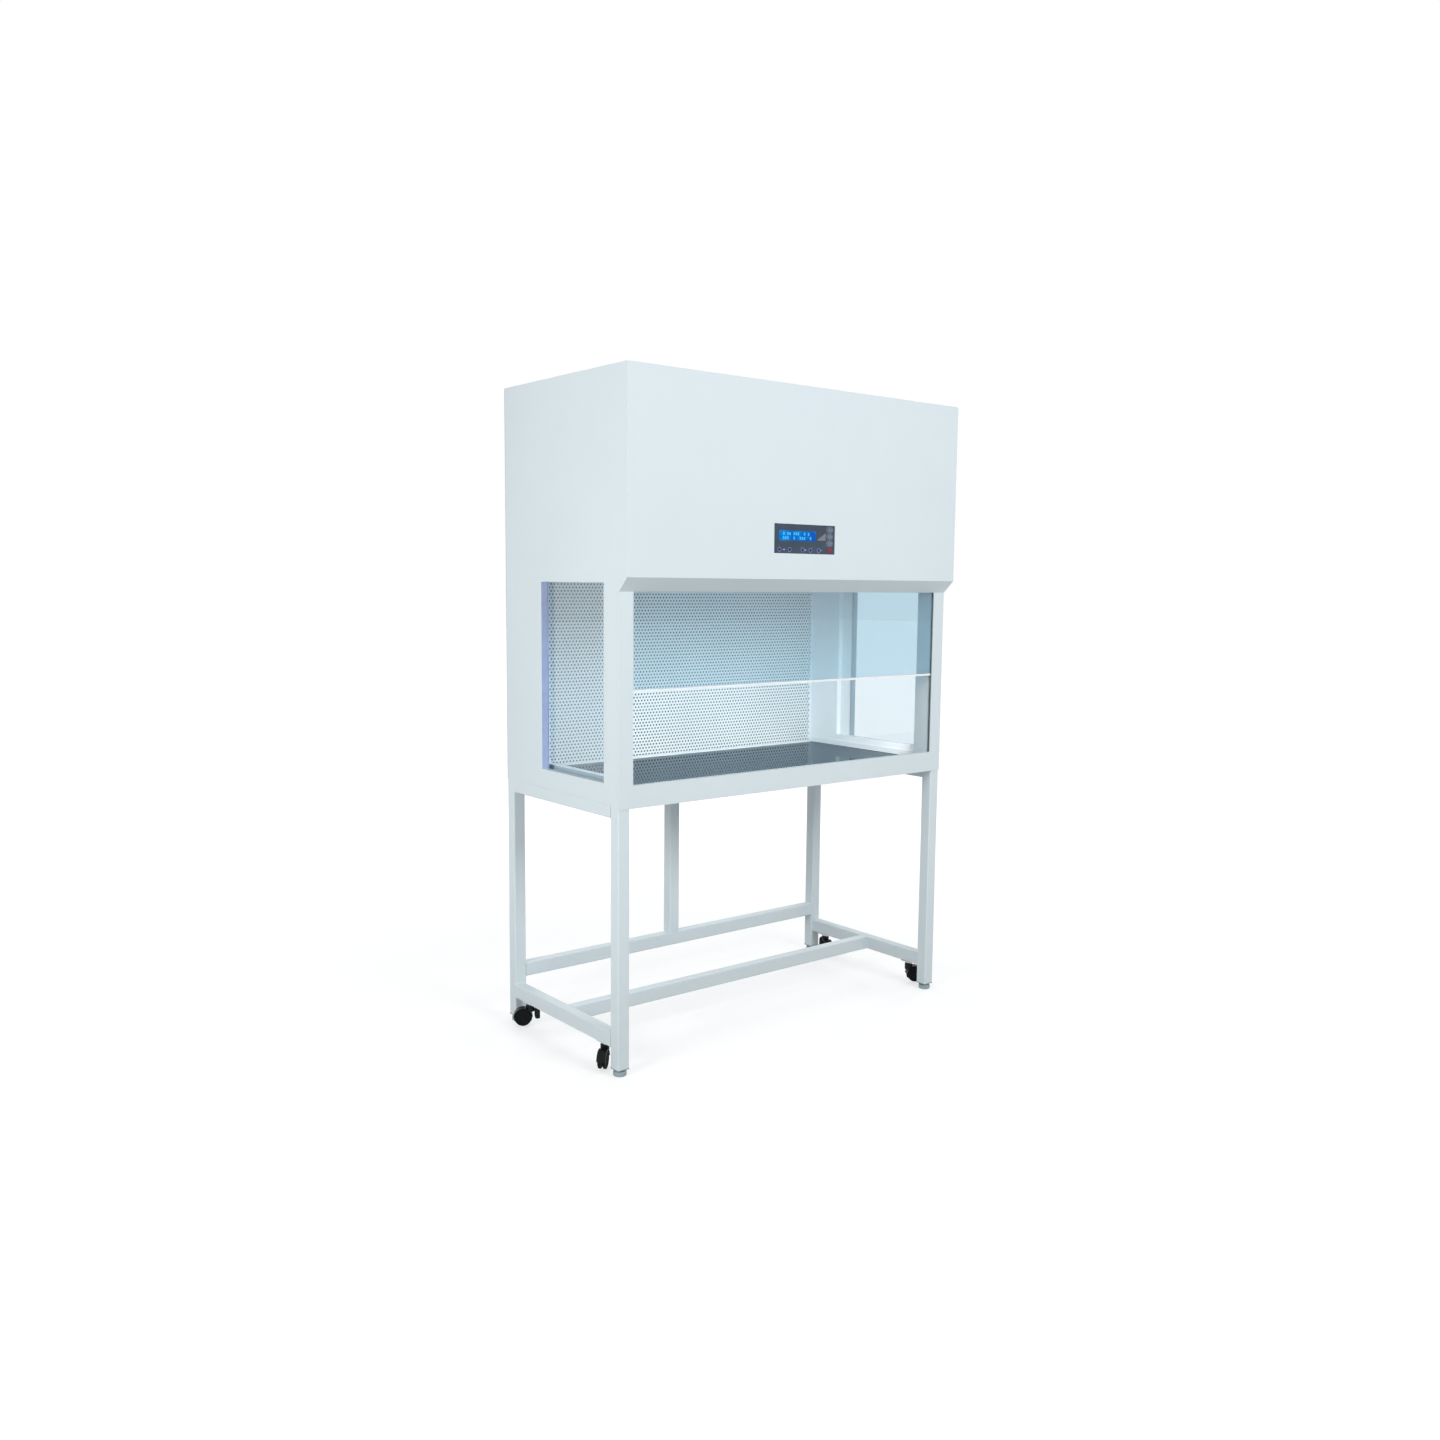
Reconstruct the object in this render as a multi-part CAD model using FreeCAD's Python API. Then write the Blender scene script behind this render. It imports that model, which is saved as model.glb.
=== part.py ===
import FreeCAD, Part
import math
import os

os.makedirs("parts", exist_ok=True)
V = FreeCAD.Vector

# Lengths are in millimetres. The pieces are drawn from the cabinet's front left bottom corner:
# X runs to the right, Y to the back and Z up. save() moves them so that the origin lies
# on the floor under the middle of the cabinet.
WIDTH = 1194.0
DEPTH = 596.0
HEIGHT = 1790.0
SHEET = 1.5

# Steel stand
LEG = 35.0
TUBE_WALL = 2.0
LEG_BOTTOM = 20.0
CABINET_BOTTOM = 706.0
BODY_BACK = 594.0
LEG_FRONT = 38.0
BAR_WIDE = 30.0
BAR_HIGH = 40.0
SIDE_BAR_Z = 72.0
REAR_BAR_Z = 130.0
CENTRE_BAR_Y = 297.0
POST_X = 551.0
FOOT_RADIUS = 17.5

# Cabinet body
STEP_BACK = 36.0
CANOPY_EDGE_Z = 1276.0
CANOPY_LIP_Z = 1241.0
APRON_BOTTOM = 696.0
SILL_Z = 755.0
WORK_Z = 732.0
WALL = 44.0
POST_BACK = 102.0
POST_FRONT = 50.0
SCREEN_Y = 567.0
CEILING_Z = 1288.0
WINDOW_Y = (103.0, 404.0)
WINDOW_Z = (757.0, 1263.0)
LINER_WINDOW_BACK = 446.0
PANE_X = 20.0
PANE = 4.0

# Sliding sash and its balance
GLASS = 5.0
GLASS_Y = 40.5
SASH_EDGE = 12.0
SASH_BOTTOM = 990.0
SASH_HIGH = 500.0
GUIDE_GAP = 0.8
WEIGHT_X = 21.0
PULLEY_Z = 1762.0
PULLEY_RADIUS = 17.5

# Control panel
PANEL_X = (473.0, 695.0)
PANEL_Z = (1345.0, 1423.0)
DISPLAY_X = (491.0, 624.0)
DISPLAY_Z = (1379.0, 1405.5)
KEY_X = 676.0
KEY_Z = (1411.0, 1392.7, 1374.4, 1356.1)
KEY_HALF_WIDE = 9.5
KEY_HALF_TALL = 5.75

# Air side, all inside the canopy
SHELF_Z = 1350.0
FILTER_HIGH = 80.0
DECK_Z = 1480.0
BLOWER_X = (400.0, 794.0)
BLOWER_Y = 310.0
BLOWER_Z = 1624.0
WHEEL_RADIUS = 80.0
WHEEL_WIDE = 120.0
BLADES = 30

# Casters. The turn is the way that each one's wheels trail, from +X towards +Y.
CASTER_X = 17.0
CASTER_Y = (124.0, 508.0)
CASTER_TURN = {"front_left": 223.0, "front_right": 330.0, "rear_left": 150.0, "rear_right": 246.0}
ROLLER = 24.0
ROLLER_Z = 28.0
TRAIL = 20.0

names = []


def save(name, shape):
    moved = shape.copy()
    moved.translate(V(-WIDTH / 2, -DEPTH / 2, 0))
    moved.exportStep("parts/" + name + ".step")
    names.append(name)


def box(x0, x1, y0, y1, z0, z1):
    return Part.makeBox(x1 - x0, y1 - y0, z1 - z0, V(x0, y0, z0))


def cylinder(x, y, z0, z1, radius):
    return Part.makeCylinder(radius, z1 - z0, V(x, y, z0))


def along_x(x0, x1, y, z, radius):
    return Part.makeCylinder(radius, x1 - x0, V(x0, y, z), V(1, 0, 0))


def along_y(y0, y1, x, z, radius):
    return Part.makeCylinder(radius, y1 - y0, V(x, y0, z), V(0, 1, 0))


def fuse(shapes):
    whole = shapes[0]
    for shape in shapes[1:]:
        whole = whole.fuse(shape)
    return whole.removeSplitter()


def cut(shape, tools):
    for tool in tools:
        shape = shape.cut(tool)
    return shape


def mirror(shape):
    return shape.mirror(V(WIDTH / 2, 0, 0), V(1, 0, 0))


def pair(shape):
    """The piece and its mirror image on the other side, as two solids."""
    return Part.makeCompound([shape, mirror(shape)])


def profile_x(points, x0, x1):
    """A closed outline in Y and Z, drawn out along X."""
    corners = [V(x0, y, z) for y, z in points]
    wire = Part.makePolygon(corners + [corners[0]])
    return Part.Face(wire).extrude(V(x1 - x0, 0, 0))


def profile_y(points, y0, y1):
    """A closed outline in X and Z, drawn out along Y."""
    corners = [V(x, y0, z) for x, z in points]
    wire = Part.makePolygon(corners + [corners[0]])
    return Part.Face(wire).extrude(V(0, y1 - y0, 0))


def profile_z(points, z0, z1):
    """A closed outline in X and Y, drawn out along Z."""
    corners = [V(x, y, z0) for x, y in points]
    wire = Part.makePolygon(corners + [corners[0]])
    return Part.Face(wire).extrude(V(0, 0, z1 - z0))


def square_tube(x0, x1, y0, y1, z0, z1, run):
    """Rectangular steel tube with rounded corners, open along the axis named by run."""
    wall = TUBE_WALL
    outer = box(x0, x1, y0, y1, z0, z1)
    along = {"x": V(1, 0, 0), "y": V(0, 1, 0), "z": V(0, 0, 1)}[run]
    edges = [e for e in outer.Edges if abs(abs(e.tangentAt(0).dot(along)) - 1) < 0.01]
    outer = outer.makeFillet(3.0, edges)
    if run == "x":
        hollow = box(x0, x1, y0 + wall, y1 - wall, z0 + wall, z1 - wall)
    elif run == "y":
        hollow = box(x0 + wall, x1 - wall, y0, y1, z0 + wall, z1 - wall)
    else:
        hollow = box(x0 + wall, x1 - wall, y0 + wall, y1 - wall, z0, z1)
    return outer.cut(hollow)


# Stand: four legs of square tube, side rails under the cabinet, lower bars that carry the
# casters, one crossbar between them, and a rear crossbar with a short post to the rear rail.
def stand():
    back = BODY_BACK - LEG
    top = CABINET_BOTTOM
    left_front = square_tube(0, LEG, LEG_FRONT, LEG_FRONT + LEG, LEG_BOTTOM, top, "z")
    left_rear = square_tube(0, LEG, back, back + LEG, LEG_BOTTOM, top, "z")
    save("stand_legs_front", pair(left_front))
    save("stand_legs_rear", pair(left_rear))
    rail = square_tube(0, LEG, LEG_FRONT + LEG, back, top - LEG, top, "y")
    save("stand_top_rails_side", pair(rail))
    save("stand_top_rail_rear", square_tube(LEG, WIDTH - LEG, back, BODY_BACK, top - LEG, top, "x"))
    bar_top = SIDE_BAR_Z + BAR_HIGH
    bar = square_tube(0, BAR_WIDE, LEG_FRONT + LEG, back, SIDE_BAR_Z, bar_top, "y")
    save("stand_lower_bars", pair(bar))
    centre = square_tube(BAR_WIDE, WIDTH - BAR_WIDE, CENTRE_BAR_Y, CENTRE_BAR_Y + BAR_WIDE,
                         SIDE_BAR_Z, bar_top, "x")
    save("stand_crossbar_centre", centre)
    rear_top = REAR_BAR_Z + BAR_HIGH
    rear = square_tube(LEG, WIDTH - LEG, back, back + BAR_WIDE, REAR_BAR_Z, rear_top, "x")
    save("stand_crossbar_rear", rear)
    post = square_tube(POST_X, POST_X + LEG, back, back + LEG, rear_top, top - LEG, "z")
    save("stand_post_rear_centre", post)


# Levelling feet: a plastic plug closes each leg, and a threaded stud with a wide pad and a
# thin lock nut turns in it.
PLUG_HIGH = 22.0
PLUG_RIM = 3.0
STUD_RADIUS = 5.0
STUD_OVER_PLUG = 8.0
STUD_PLAY = 0.1
NUT_RADIUS = 9.8
NUT_GAP = 0.3
PAD_HIGH = 13.0
PAD_EDGE = 2.0


def levelling_feet():
    wall = TUBE_WALL
    spots = {
        "front_left": (LEG / 2, LEG_FRONT + LEG / 2),
        "front_right": (WIDTH - LEG / 2, LEG_FRONT + LEG / 2),
        "rear_left": (LEG / 2, BODY_BACK - LEG / 2),
        "rear_right": (WIDTH - LEG / 2, BODY_BACK - LEG / 2),
    }
    plugs = []
    for name, (x, y) in spots.items():
        half = LEG / 2
        inner = half - wall
        plug = fuse([
            box(x - half, x + half, y - half, y + half, LEG_BOTTOM - PLUG_RIM, LEG_BOTTOM),
            box(x - inner, x + inner, y - inner, y + inner, LEG_BOTTOM, LEG_BOTTOM + PLUG_HIGH),
        ])
        plug = plug.cut(cylinder(x, y, LEG_BOTTOM - PLUG_RIM - 1, LEG_BOTTOM + PLUG_HIGH + 1,
                                 STUD_RADIUS + STUD_PLAY))
        plugs.append(plug)
        stud_top = LEG_BOTTOM + PLUG_HIGH + STUD_OVER_PLUG
        outline = [
            V(x, y, 0), V(x + FOOT_RADIUS - PAD_EDGE, y, 0), V(x + FOOT_RADIUS, y, PAD_EDGE),
            V(x + FOOT_RADIUS, y, PAD_HIGH - PAD_EDGE), V(x + FOOT_RADIUS - PAD_EDGE, y, PAD_HIGH),
            V(x + STUD_RADIUS, y, PAD_HIGH), V(x + STUD_RADIUS, y, stud_top), V(x, y, stud_top),
        ]
        pad = Part.Face(Part.makePolygon(outline + [outline[0]])).revolve(V(x, y, 0), V(0, 0, 1), 360)
        corners = [(x + NUT_RADIUS * math.cos(math.radians(60 * i)),
                    y + NUT_RADIUS * math.sin(math.radians(60 * i))) for i in range(6)]
        nut = profile_z(corners, PAD_HIGH, LEG_BOTTOM - PLUG_RIM - NUT_GAP)
        save("levelling_foot_" + name, pad.fuse(nut).removeSplitter())
    save("leg_plugs", Part.makeCompound(plugs))


# Casters: a plate and pin under the bar, a hooded housing that swivels on the pin, slim twin
# wheels on one axle, and on the rear pair a deep brake pedal hinged behind the neck. Each one
# is drawn with its pin on the Z axis and its wheels trailing along +X.
HOOD_RADIUS = 27.5
HOOD_INNER = 25.2
HOOD_HALF = 12.0
HOOD_BOTTOM = 30.0
WEB_HALF = 2.5
WEB_BOTTOM = 16.0
NECK_RADIUS = 12.0
NECK_TIP = 10.5
NECK_BOTTOM = 45.0
NECK_SHOULDER = 62.0
NECK_TOP = 66.0
PIN_RADIUS = 6.0
PIN_BOTTOM = 51.0
AXLE_RADIUS = 3.0
BORE_PLAY = 0.1
WHEEL_GAP = 0.6
COLLAR_RADIUS = 10.0
COLLAR_GAP = 0.4
PLATE_HALF = (13.0, 21.0)
PLATE_THICK = 3.0
PEDAL_PIN_X = -16.0
PEDAL_PIN_Z = 48.0
PEDAL_PIN_RADIUS = 2.0
PEDAL_PIN_HALF = 11.0
LUG_RADIUS = 3.6
LUG_HALF = 5.0
SLOT_HALF = 5.6


def brake_lug():
    """Lug behind the neck with the pin that the pedal turns on."""
    x = PEDAL_PIN_X
    z = PEDAL_PIN_Z
    return fuse([
        box(x, 2 - NECK_RADIUS, -LUG_HALF, LUG_HALF, NECK_BOTTOM, 2 * z - NECK_BOTTOM),
        along_y(-LUG_HALF, LUG_HALF, x, z, LUG_RADIUS),
        along_y(-PEDAL_PIN_HALF, PEDAL_PIN_HALF, x, z, PEDAL_PIN_RADIUS),
    ])


def caster_housing(braked):
    """Curved hood over the wheels, a web between them that holds the axle, and the neck."""
    all_round = 60.0
    hood = cut(along_y(-HOOD_HALF, HOOD_HALF, TRAIL, ROLLER_Z, HOOD_RADIUS), [
        along_y(-HOOD_HALF - 1, HOOD_HALF + 1, TRAIL, ROLLER_Z, HOOD_INNER),
        box(-all_round, all_round, -all_round, all_round, -1, HOOD_BOTTOM),
    ])
    web = along_y(-WEB_HALF, WEB_HALF, TRAIL, ROLLER_Z, HOOD_INNER + 1).cut(
        box(-all_round, all_round, -all_round, all_round, -1, WEB_BOTTOM))
    neck = cylinder(0, 0, NECK_BOTTOM, NECK_SHOULDER, NECK_RADIUS).fuse(Part.makeCone(
        NECK_RADIUS, NECK_TIP, NECK_TOP - NECK_SHOULDER, V(0, 0, NECK_SHOULDER)))
    wheel_room = along_y(-HOOD_HALF - 1, HOOD_HALF + 1, TRAIL, ROLLER_Z, HOOD_INNER).cut(
        box(-all_round, all_round, -WEB_HALF, WEB_HALF, -1, all_round))
    pieces = [hood, web, neck.cut(wheel_room)]
    if braked:
        pieces.append(brake_lug())
    return cut(fuse(pieces), [
        cylinder(0, 0, PIN_BOTTOM - 1, NECK_TOP + 1, PIN_RADIUS + BORE_PLAY),
        along_y(-HOOD_HALF, HOOD_HALF, TRAIL, ROLLER_Z, AXLE_RADIUS + BORE_PLAY),
    ])


def caster_wheels():
    """Two dished wheels with rounded treads on one axle."""
    solids = []
    inner = WEB_HALF + WHEEL_GAP
    outer = HOOD_HALF - 1
    outline = [
        (0, inner), (ROLLER - 1.5, inner), (ROLLER, inner + 1.5), (ROLLER, outer - 2.5),
        (ROLLER - 0.8, outer - 0.8), (ROLLER - 2.5, outer), (ROLLER - 5.5, outer),
        (ROLLER - 7, outer - 2.5), (8, outer - 2.5), (6, outer - 0.5), (0, outer - 0.5),
    ]
    for side in (-1, 1):
        corners = [V(TRAIL + r, side * w, ROLLER_Z) for r, w in outline]
        face = Part.Face(Part.makePolygon(corners + [corners[0]]))
        solids.append(face.revolve(V(TRAIL, 0, ROLLER_Z), V(0, 1, 0), 360))
    axle = along_y(-inner, inner, TRAIL, ROLLER_Z, AXLE_RADIUS)
    return fuse([solids[0], axle, solids[1]])


def caster_pedal():
    """Deep moulded brake pedal astride the lug, open below, drawn at its released position."""
    x = PEDAL_PIN_X
    z = PEDAL_PIN_Z
    outline = [
        (2.5, 10), (-9.5, 2), (-11.4, -0.6), (-12, -4), (-12, -19), (-11.2, -21.6), (-9, -23),
        (-1, -23), (2, -20), (4, -12), (3.5, -2),
    ]
    slot = [(6, 9.7), (-9.8, -0.84), (-9.8, -26), (6, -26)]
    body = profile_y([(x + dx, z + dz) for dx, dz in outline], -HOOD_HALF, HOOD_HALF)
    room = profile_y([(x + dx, z + dz) for dx, dz in slot], -SLOT_HALF, SLOT_HALF)
    bore = along_y(-HOOD_HALF - 1, HOOD_HALF + 1, x, z, PEDAL_PIN_RADIUS + BORE_PLAY)
    return cut(body, [room, bore])


def casters():
    places = {
        "front_left": (CASTER_X, CASTER_Y[0]),
        "front_right": (WIDTH - CASTER_X, CASTER_Y[0]),
        "rear_left": (CASTER_X, CASTER_Y[1]),
        "rear_right": (WIDTH - CASTER_X, CASTER_Y[1]),
    }
    half_x, half_y = PLATE_HALF
    plate_z = SIDE_BAR_Z - PLATE_THICK
    mounts = []
    for name, (x, y) in places.items():
        def place(shape):
            put = shape.copy()
            put.rotate(V(0, 0, 0), V(0, 0, 1), CASTER_TURN[name])
            put.translate(V(x, y, 0))
            return put
        mount = fuse([
            box(-half_x, half_x, -half_y, half_y, plate_z, SIDE_BAR_Z),
            cylinder(0, 0, PIN_BOTTOM, plate_z, PIN_RADIUS),
            cylinder(0, 0, NECK_TOP + COLLAR_GAP, plate_z, COLLAR_RADIUS),
        ])
        mount.translate(V(x, y, 0))
        mounts.append(mount)
        braked = name.startswith("rear")
        save("caster_housing_" + name, place(caster_housing(braked)))
        save("caster_wheels_" + name, place(caster_wheels()))
        if braked:
            save("caster_pedal_" + name, place(caster_pedal()))
    save("caster_mounts", Part.makeCompound(mounts))


# Outer skin of a side: one folded sheet with the window's reveal, a front flange that makes
# the face of the front post, and flanges for the roof and the rear panel.
def side_outline(x0, x1, inset=0.0):
    return profile_x([
        (STEP_BACK + inset, CABINET_BOTTOM), (STEP_BACK + inset, CANOPY_LIP_Z),
        (inset, CANOPY_EDGE_Z), (inset, HEIGHT - SHEET), (BODY_BACK - SHEET, HEIGHT - SHEET),
        (BODY_BACK - SHEET, CABINET_BOTTOM),
    ], x0, x1)


def side_panel():
    window = box(-1, PANE_X + 1, WINDOW_Y[0], WINDOW_Y[1], WINDOW_Z[0], WINDOW_Z[1])
    skin = cut(side_outline(0, SHEET), [window, canopy_front(), front_apron()])
    reveal = box(SHEET, PANE_X, POST_BACK, WINDOW_Y[1] + SHEET,
                 WINDOW_Z[0] - SHEET, WINDOW_Z[1] + SHEET).cut(window)
    face = box(0, WALL, STEP_BACK, STEP_BACK + SHEET, SILL_Z, CANOPY_LIP_Z)
    rear = box(SHEET, 20, BODY_BACK - 2 * SHEET, BODY_BACK - SHEET,
               CABINET_BOTTOM + SHEET, HEIGHT - 2 * SHEET)
    roof = box(SHEET, 20, 90, BODY_BACK - SHEET, HEIGHT - 2 * SHEET, HEIGHT - SHEET)
    return fuse([skin, reveal, face, rear, roof])


# Inner side wall: a plate whose window runs forward to the post. Its edges are folded outward
# to the pane, so that no dirt gets between the inner and the outer sheet.
LINER_WINDOW_LOW = WINDOW_Z[0] + 12
PANE_LAP = 10.0
PANE_GAP = 0.3


def side_liner():
    x0 = PANE_X + PANE + PANE_GAP
    x1 = WALL - SHEET
    back = LINER_WINDOW_BACK
    low = LINER_WINDOW_LOW
    high = WINDOW_Z[1]
    plate = box(x1, WALL, POST_BACK, SCREEN_Y, CABINET_BOTTOM + SHEET, CEILING_Z)
    plate = plate.cut(box(x1 - 1, WALL + 1, POST_BACK - 1, back, low, high))
    folds = [
        box(x0, x1, POST_BACK, back + SHEET, low - SHEET, low),
        box(x0, x1, POST_BACK, back + SHEET, high, high + SHEET),
        box(x0, x1, back, back + SHEET, low, high),
    ]
    return fuse([plate] + folds)


def side_pane():
    return box(PANE_X, PANE_X + PANE, POST_BACK + PANE_GAP, LINER_WINDOW_BACK + PANE_LAP,
               WINDOW_Z[0] - PANE_LAP, WINDOW_Z[1] + PANE_LAP)


# Front post: a folded channel behind the sash. The balance weight runs inside it.
def front_post():
    outer = box(SHEET, WALL, POST_FRONT, POST_BACK, CABINET_BOTTOM + SHEET, CEILING_Z)
    inner = box(SHEET - 1, WALL - SHEET, POST_FRONT + SHEET, POST_BACK - SHEET,
                CABINET_BOTTOM, CEILING_Z + 1)
    return outer.cut(inner)


# Guide: a plastic channel round the edge of the glass, from the sill up into the canopy.
def sash_guide():
    outer = box(SHEET, WALL, STEP_BACK + SHEET, POST_FRONT, SILL_Z, HEIGHT - 45)
    groove = box(SASH_EDGE - 3, WALL + 1, GLASS_Y - GUIDE_GAP, GLASS_Y + GLASS + GUIDE_GAP,
                 SILL_Z - 1, HEIGHT)
    return outer.cut(groove)


# Canopy front: flat face, 45 degree chamfer down to the post plane and a hem inside the lip.
def canopy_front():
    outline = [
        (0, HEIGHT - SHEET), (0, CANOPY_EDGE_Z), (STEP_BACK, CANOPY_LIP_Z),
        (STEP_BACK + SHEET, CANOPY_LIP_Z), (STEP_BACK + SHEET, CANOPY_LIP_Z + 14),
        (STEP_BACK, CANOPY_LIP_Z + 14), (STEP_BACK, CANOPY_LIP_Z + 2),
        (SHEET, CANOPY_EDGE_Z + 0.6), (SHEET, HEIGHT - SHEET),
    ]
    panel = profile_x(outline, 0, WIDTH)
    gap = 0.3
    opening = box(PANEL_X[0] - gap, PANEL_X[1] + gap, -1, 5, PANEL_Z[0] - gap, PANEL_Z[1] + gap)
    return panel.cut(opening)


# Apron: the folded front rail under the opening, with a sill on top and a return at the foot.
def front_apron():
    outline = [
        (STEP_BACK, APRON_BOTTOM), (STEP_BACK, SILL_Z), (POST_FRONT - 1, SILL_Z),
        (POST_FRONT - 1, CABINET_BOTTOM + SHEET), (POST_FRONT - 1 - SHEET, CABINET_BOTTOM + SHEET),
        (POST_FRONT - 1 - SHEET, SILL_Z - SHEET), (STEP_BACK + SHEET, SILL_Z - SHEET),
        (STEP_BACK + SHEET, APRON_BOTTOM),
    ]
    return profile_x(outline, 0, WIDTH)


# Base pan: the floor of the cabinet, which rests on the stand.
def base_pan():
    floor = box(SHEET, WIDTH - SHEET, STEP_BACK + SHEET, BODY_BACK - SHEET,
                CABINET_BOTTOM, CABINET_BOTTOM + SHEET)
    return floor


# Worktop: stainless tray that stands on folded edges, with upturned sides.
UPSTAND = 17.0
TRAY = 1.2


def worktop():
    x0 = WALL
    x1 = WIDTH - WALL
    y0 = POST_FRONT
    y1 = SCREEN_Y
    foot = CABINET_BOTTOM + SHEET
    plate = box(x0, x1, y0, y1, WORK_Z - TRAY, WORK_Z)
    front = box(x0, x1, y0, y0 + TRAY, foot, WORK_Z)
    rear = box(x0, x1, y1 - TRAY, y1, foot, WORK_Z)
    left = box(x0, x0 + TRAY, POST_BACK, y1, WORK_Z, WORK_Z + UPSTAND)
    right = box(x1 - TRAY, x1, POST_BACK, y1, WORK_Z, WORK_Z + UPSTAND)
    ribs = []
    for share in (0.25, 0.5, 0.75):
        x = x0 + (x1 - x0) * share
        hat = box(x - 25, x + 25, y0 + TRAY, y1 - TRAY, foot, WORK_Z - TRAY)
        ribs.append(hat.cut(box(x - 25 + TRAY, x + 25 - TRAY, y0, y1, foot - 1, WORK_Z - TRAY)))
    return fuse([plate, front, rear, left, right] + ribs)


# Air screen: the perforated rear wall of the chamber, a tray that stands off the rear panel
# and leaves an air duct behind it.
def air_screen():
    x0 = WALL
    x1 = WIDTH - WALL
    back = BODY_BACK - SHEET
    face = box(x0, x1, SCREEN_Y, SCREEN_Y + 1, WORK_Z, CEILING_Z)
    left = box(x0, x0 + 1, SCREEN_Y, back, WORK_Z, CEILING_Z)
    right = box(x1 - 1, x1, SCREEN_Y, back, WORK_Z, CEILING_Z)
    foot = box(x0, x1, SCREEN_Y, back, WORK_Z - 1, WORK_Z)
    return fuse([face, left, right, foot])


# Rear panel with the cut-out for the power inlet, and its row of screws.
INLET_X = 1010.0
INLET_Z = 1550.0
INLET_WIDE = 27.0
INLET_HIGH = 20.0


def rear_panel():
    panel = box(0, WIDTH, BODY_BACK - SHEET, BODY_BACK, CABINET_BOTTOM, HEIGHT - SHEET)
    hole = box(INLET_X - INLET_WIDE / 2 - 1, INLET_X + INLET_WIDE / 2 + 1, BODY_BACK - 3,
               BODY_BACK + 1, INLET_Z - INLET_HIGH / 2 - 1, INLET_Z + INLET_HIGH / 2 + 1)
    return panel.cut(hole)


SCREW_ROWS = 7
SCREW_EDGE = 11.0
SCREW_FIRST = 40.0
HEAD_BASE = 5.0
HEAD_TOP = 3.4


def rear_screws():
    """Pan heads whose tops are the rearmost points of the cabinet."""
    heads = []
    first = CABINET_BOTTOM + SCREW_FIRST
    pitch = (HEIGHT - SCREW_FIRST - first) / (SCREW_ROWS - 1)
    for x in (SCREW_EDGE, WIDTH - SCREW_EDGE):
        for i in range(SCREW_ROWS):
            foot = V(x, BODY_BACK, first + i * pitch)
            heads.append(Part.makeCone(HEAD_BASE, HEAD_TOP, DEPTH - BODY_BACK, foot, V(0, 1, 0)))
    return Part.makeCompound(heads)


# Roof with the air intake: rows of slots over the pre-filter.
INTAKE_X = (447.0, 747.0)
INTAKE_Y = (200.0, 420.0)
SLOT_LONG = 64.0
SLOT_WIDE = 6.0
SLOT_PITCH = 13.0


def roof():
    panel = box(0, WIDTH, 0, BODY_BACK, HEIGHT - SHEET, HEIGHT)
    slots = []
    columns = 4
    rows = 16
    x_pitch = (INTAKE_X[1] - INTAKE_X[0]) / columns
    for column in range(columns):
        x = INTAKE_X[0] + (column + 0.5) * x_pitch
        for row in range(rows):
            y = INTAKE_Y[0] + 12 + row * SLOT_PITCH
            slots.append(box(x - SLOT_LONG / 2, x + SLOT_LONG / 2, y - SLOT_WIDE / 2,
                             y + SLOT_WIDE / 2, HEIGHT - 5, HEIGHT + 1))
    return panel.cut(Part.makeCompound(slots))


def prefilter():
    """A card frame round a flat filter mat, hung under the roof slots."""
    top = HEIGHT - SHEET
    frame = box(INTAKE_X[0], INTAKE_X[1], INTAKE_Y[0], INTAKE_Y[1], top - 20, top)
    frame = frame.cut(box(INTAKE_X[0] + 12, INTAKE_X[1] - 12, INTAKE_Y[0] + 6, INTAKE_Y[1] - 6,
                          top - 30, top + 1))
    mat = box(INTAKE_X[0] + 12, INTAKE_X[1] - 12, INTAKE_Y[0] + 6, INTAKE_Y[1] - 6, top - 16, top - 6)
    return Part.makeCompound([frame, mat])


# Supply box over the chamber: its floor is the chamber's ceiling, its lid is the shelf of the
# main filter, and it is open to the air duct at the back.
def supply_box():
    x0 = WALL
    x1 = WIDTH - WALL
    y0 = POST_BACK - 40
    plate = box(x0, x1, y0, SCREEN_Y, CEILING_Z, CEILING_Z + SHEET)
    front = box(x0, x1, y0, y0 + SHEET, CEILING_Z, SHELF_Z)
    left = box(x0, x0 + SHEET, y0, BODY_BACK - SHEET, CEILING_Z + SHEET, SHELF_Z)
    right = box(x1 - SHEET, x1, y0, BODY_BACK - SHEET, CEILING_Z + SHEET, SHELF_Z)
    shelf = box(x0, x1, y0, BODY_BACK - SHEET, SHELF_Z, SHELF_Z + SHEET)
    shelf = shelf.cut(box(x0 + 30, x1 - 30, y0 + 30, 532, SHELF_Z - 1, SHELF_Z + 5))
    return fuse([plate, front, left, right, shelf])


def main_filter():
    """High-efficiency filter: a box frame and a pleated pack inside it."""
    x0 = WALL + 8
    x1 = WIDTH - WALL - 8
    y0 = 74.0
    y1 = 556.0
    z0 = SHELF_Z + SHEET
    z1 = z0 + FILTER_HIGH
    rim = 15.0
    frame = box(x0, x1, y0, y1, z0, z1).cut(box(x0 + rim, x1 - rim, y0 + rim, y1 - rim, z0 - 1, z1 + 1))
    folds = 46
    half = (x1 - x0 - 2 * rim) / folds / 2
    low = z0 + 12
    high = z1 - 12
    thick = 5.0
    upper = []
    lower = []
    for i in range(2 * folds + 1):
        x = x0 + rim + i * half
        z = low if i % 2 == 0 else high - thick
        lower.append(V(x, y0 + rim, z))
        upper.append(V(x, y0 + rim, z + thick))
    outline = lower + upper[::-1]
    pack = Part.Face(Part.makePolygon(outline + [outline[0]])).extrude(V(0, y1 - y0 - 2 * rim, 0))
    return Part.makeCompound([frame, pack])


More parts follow.
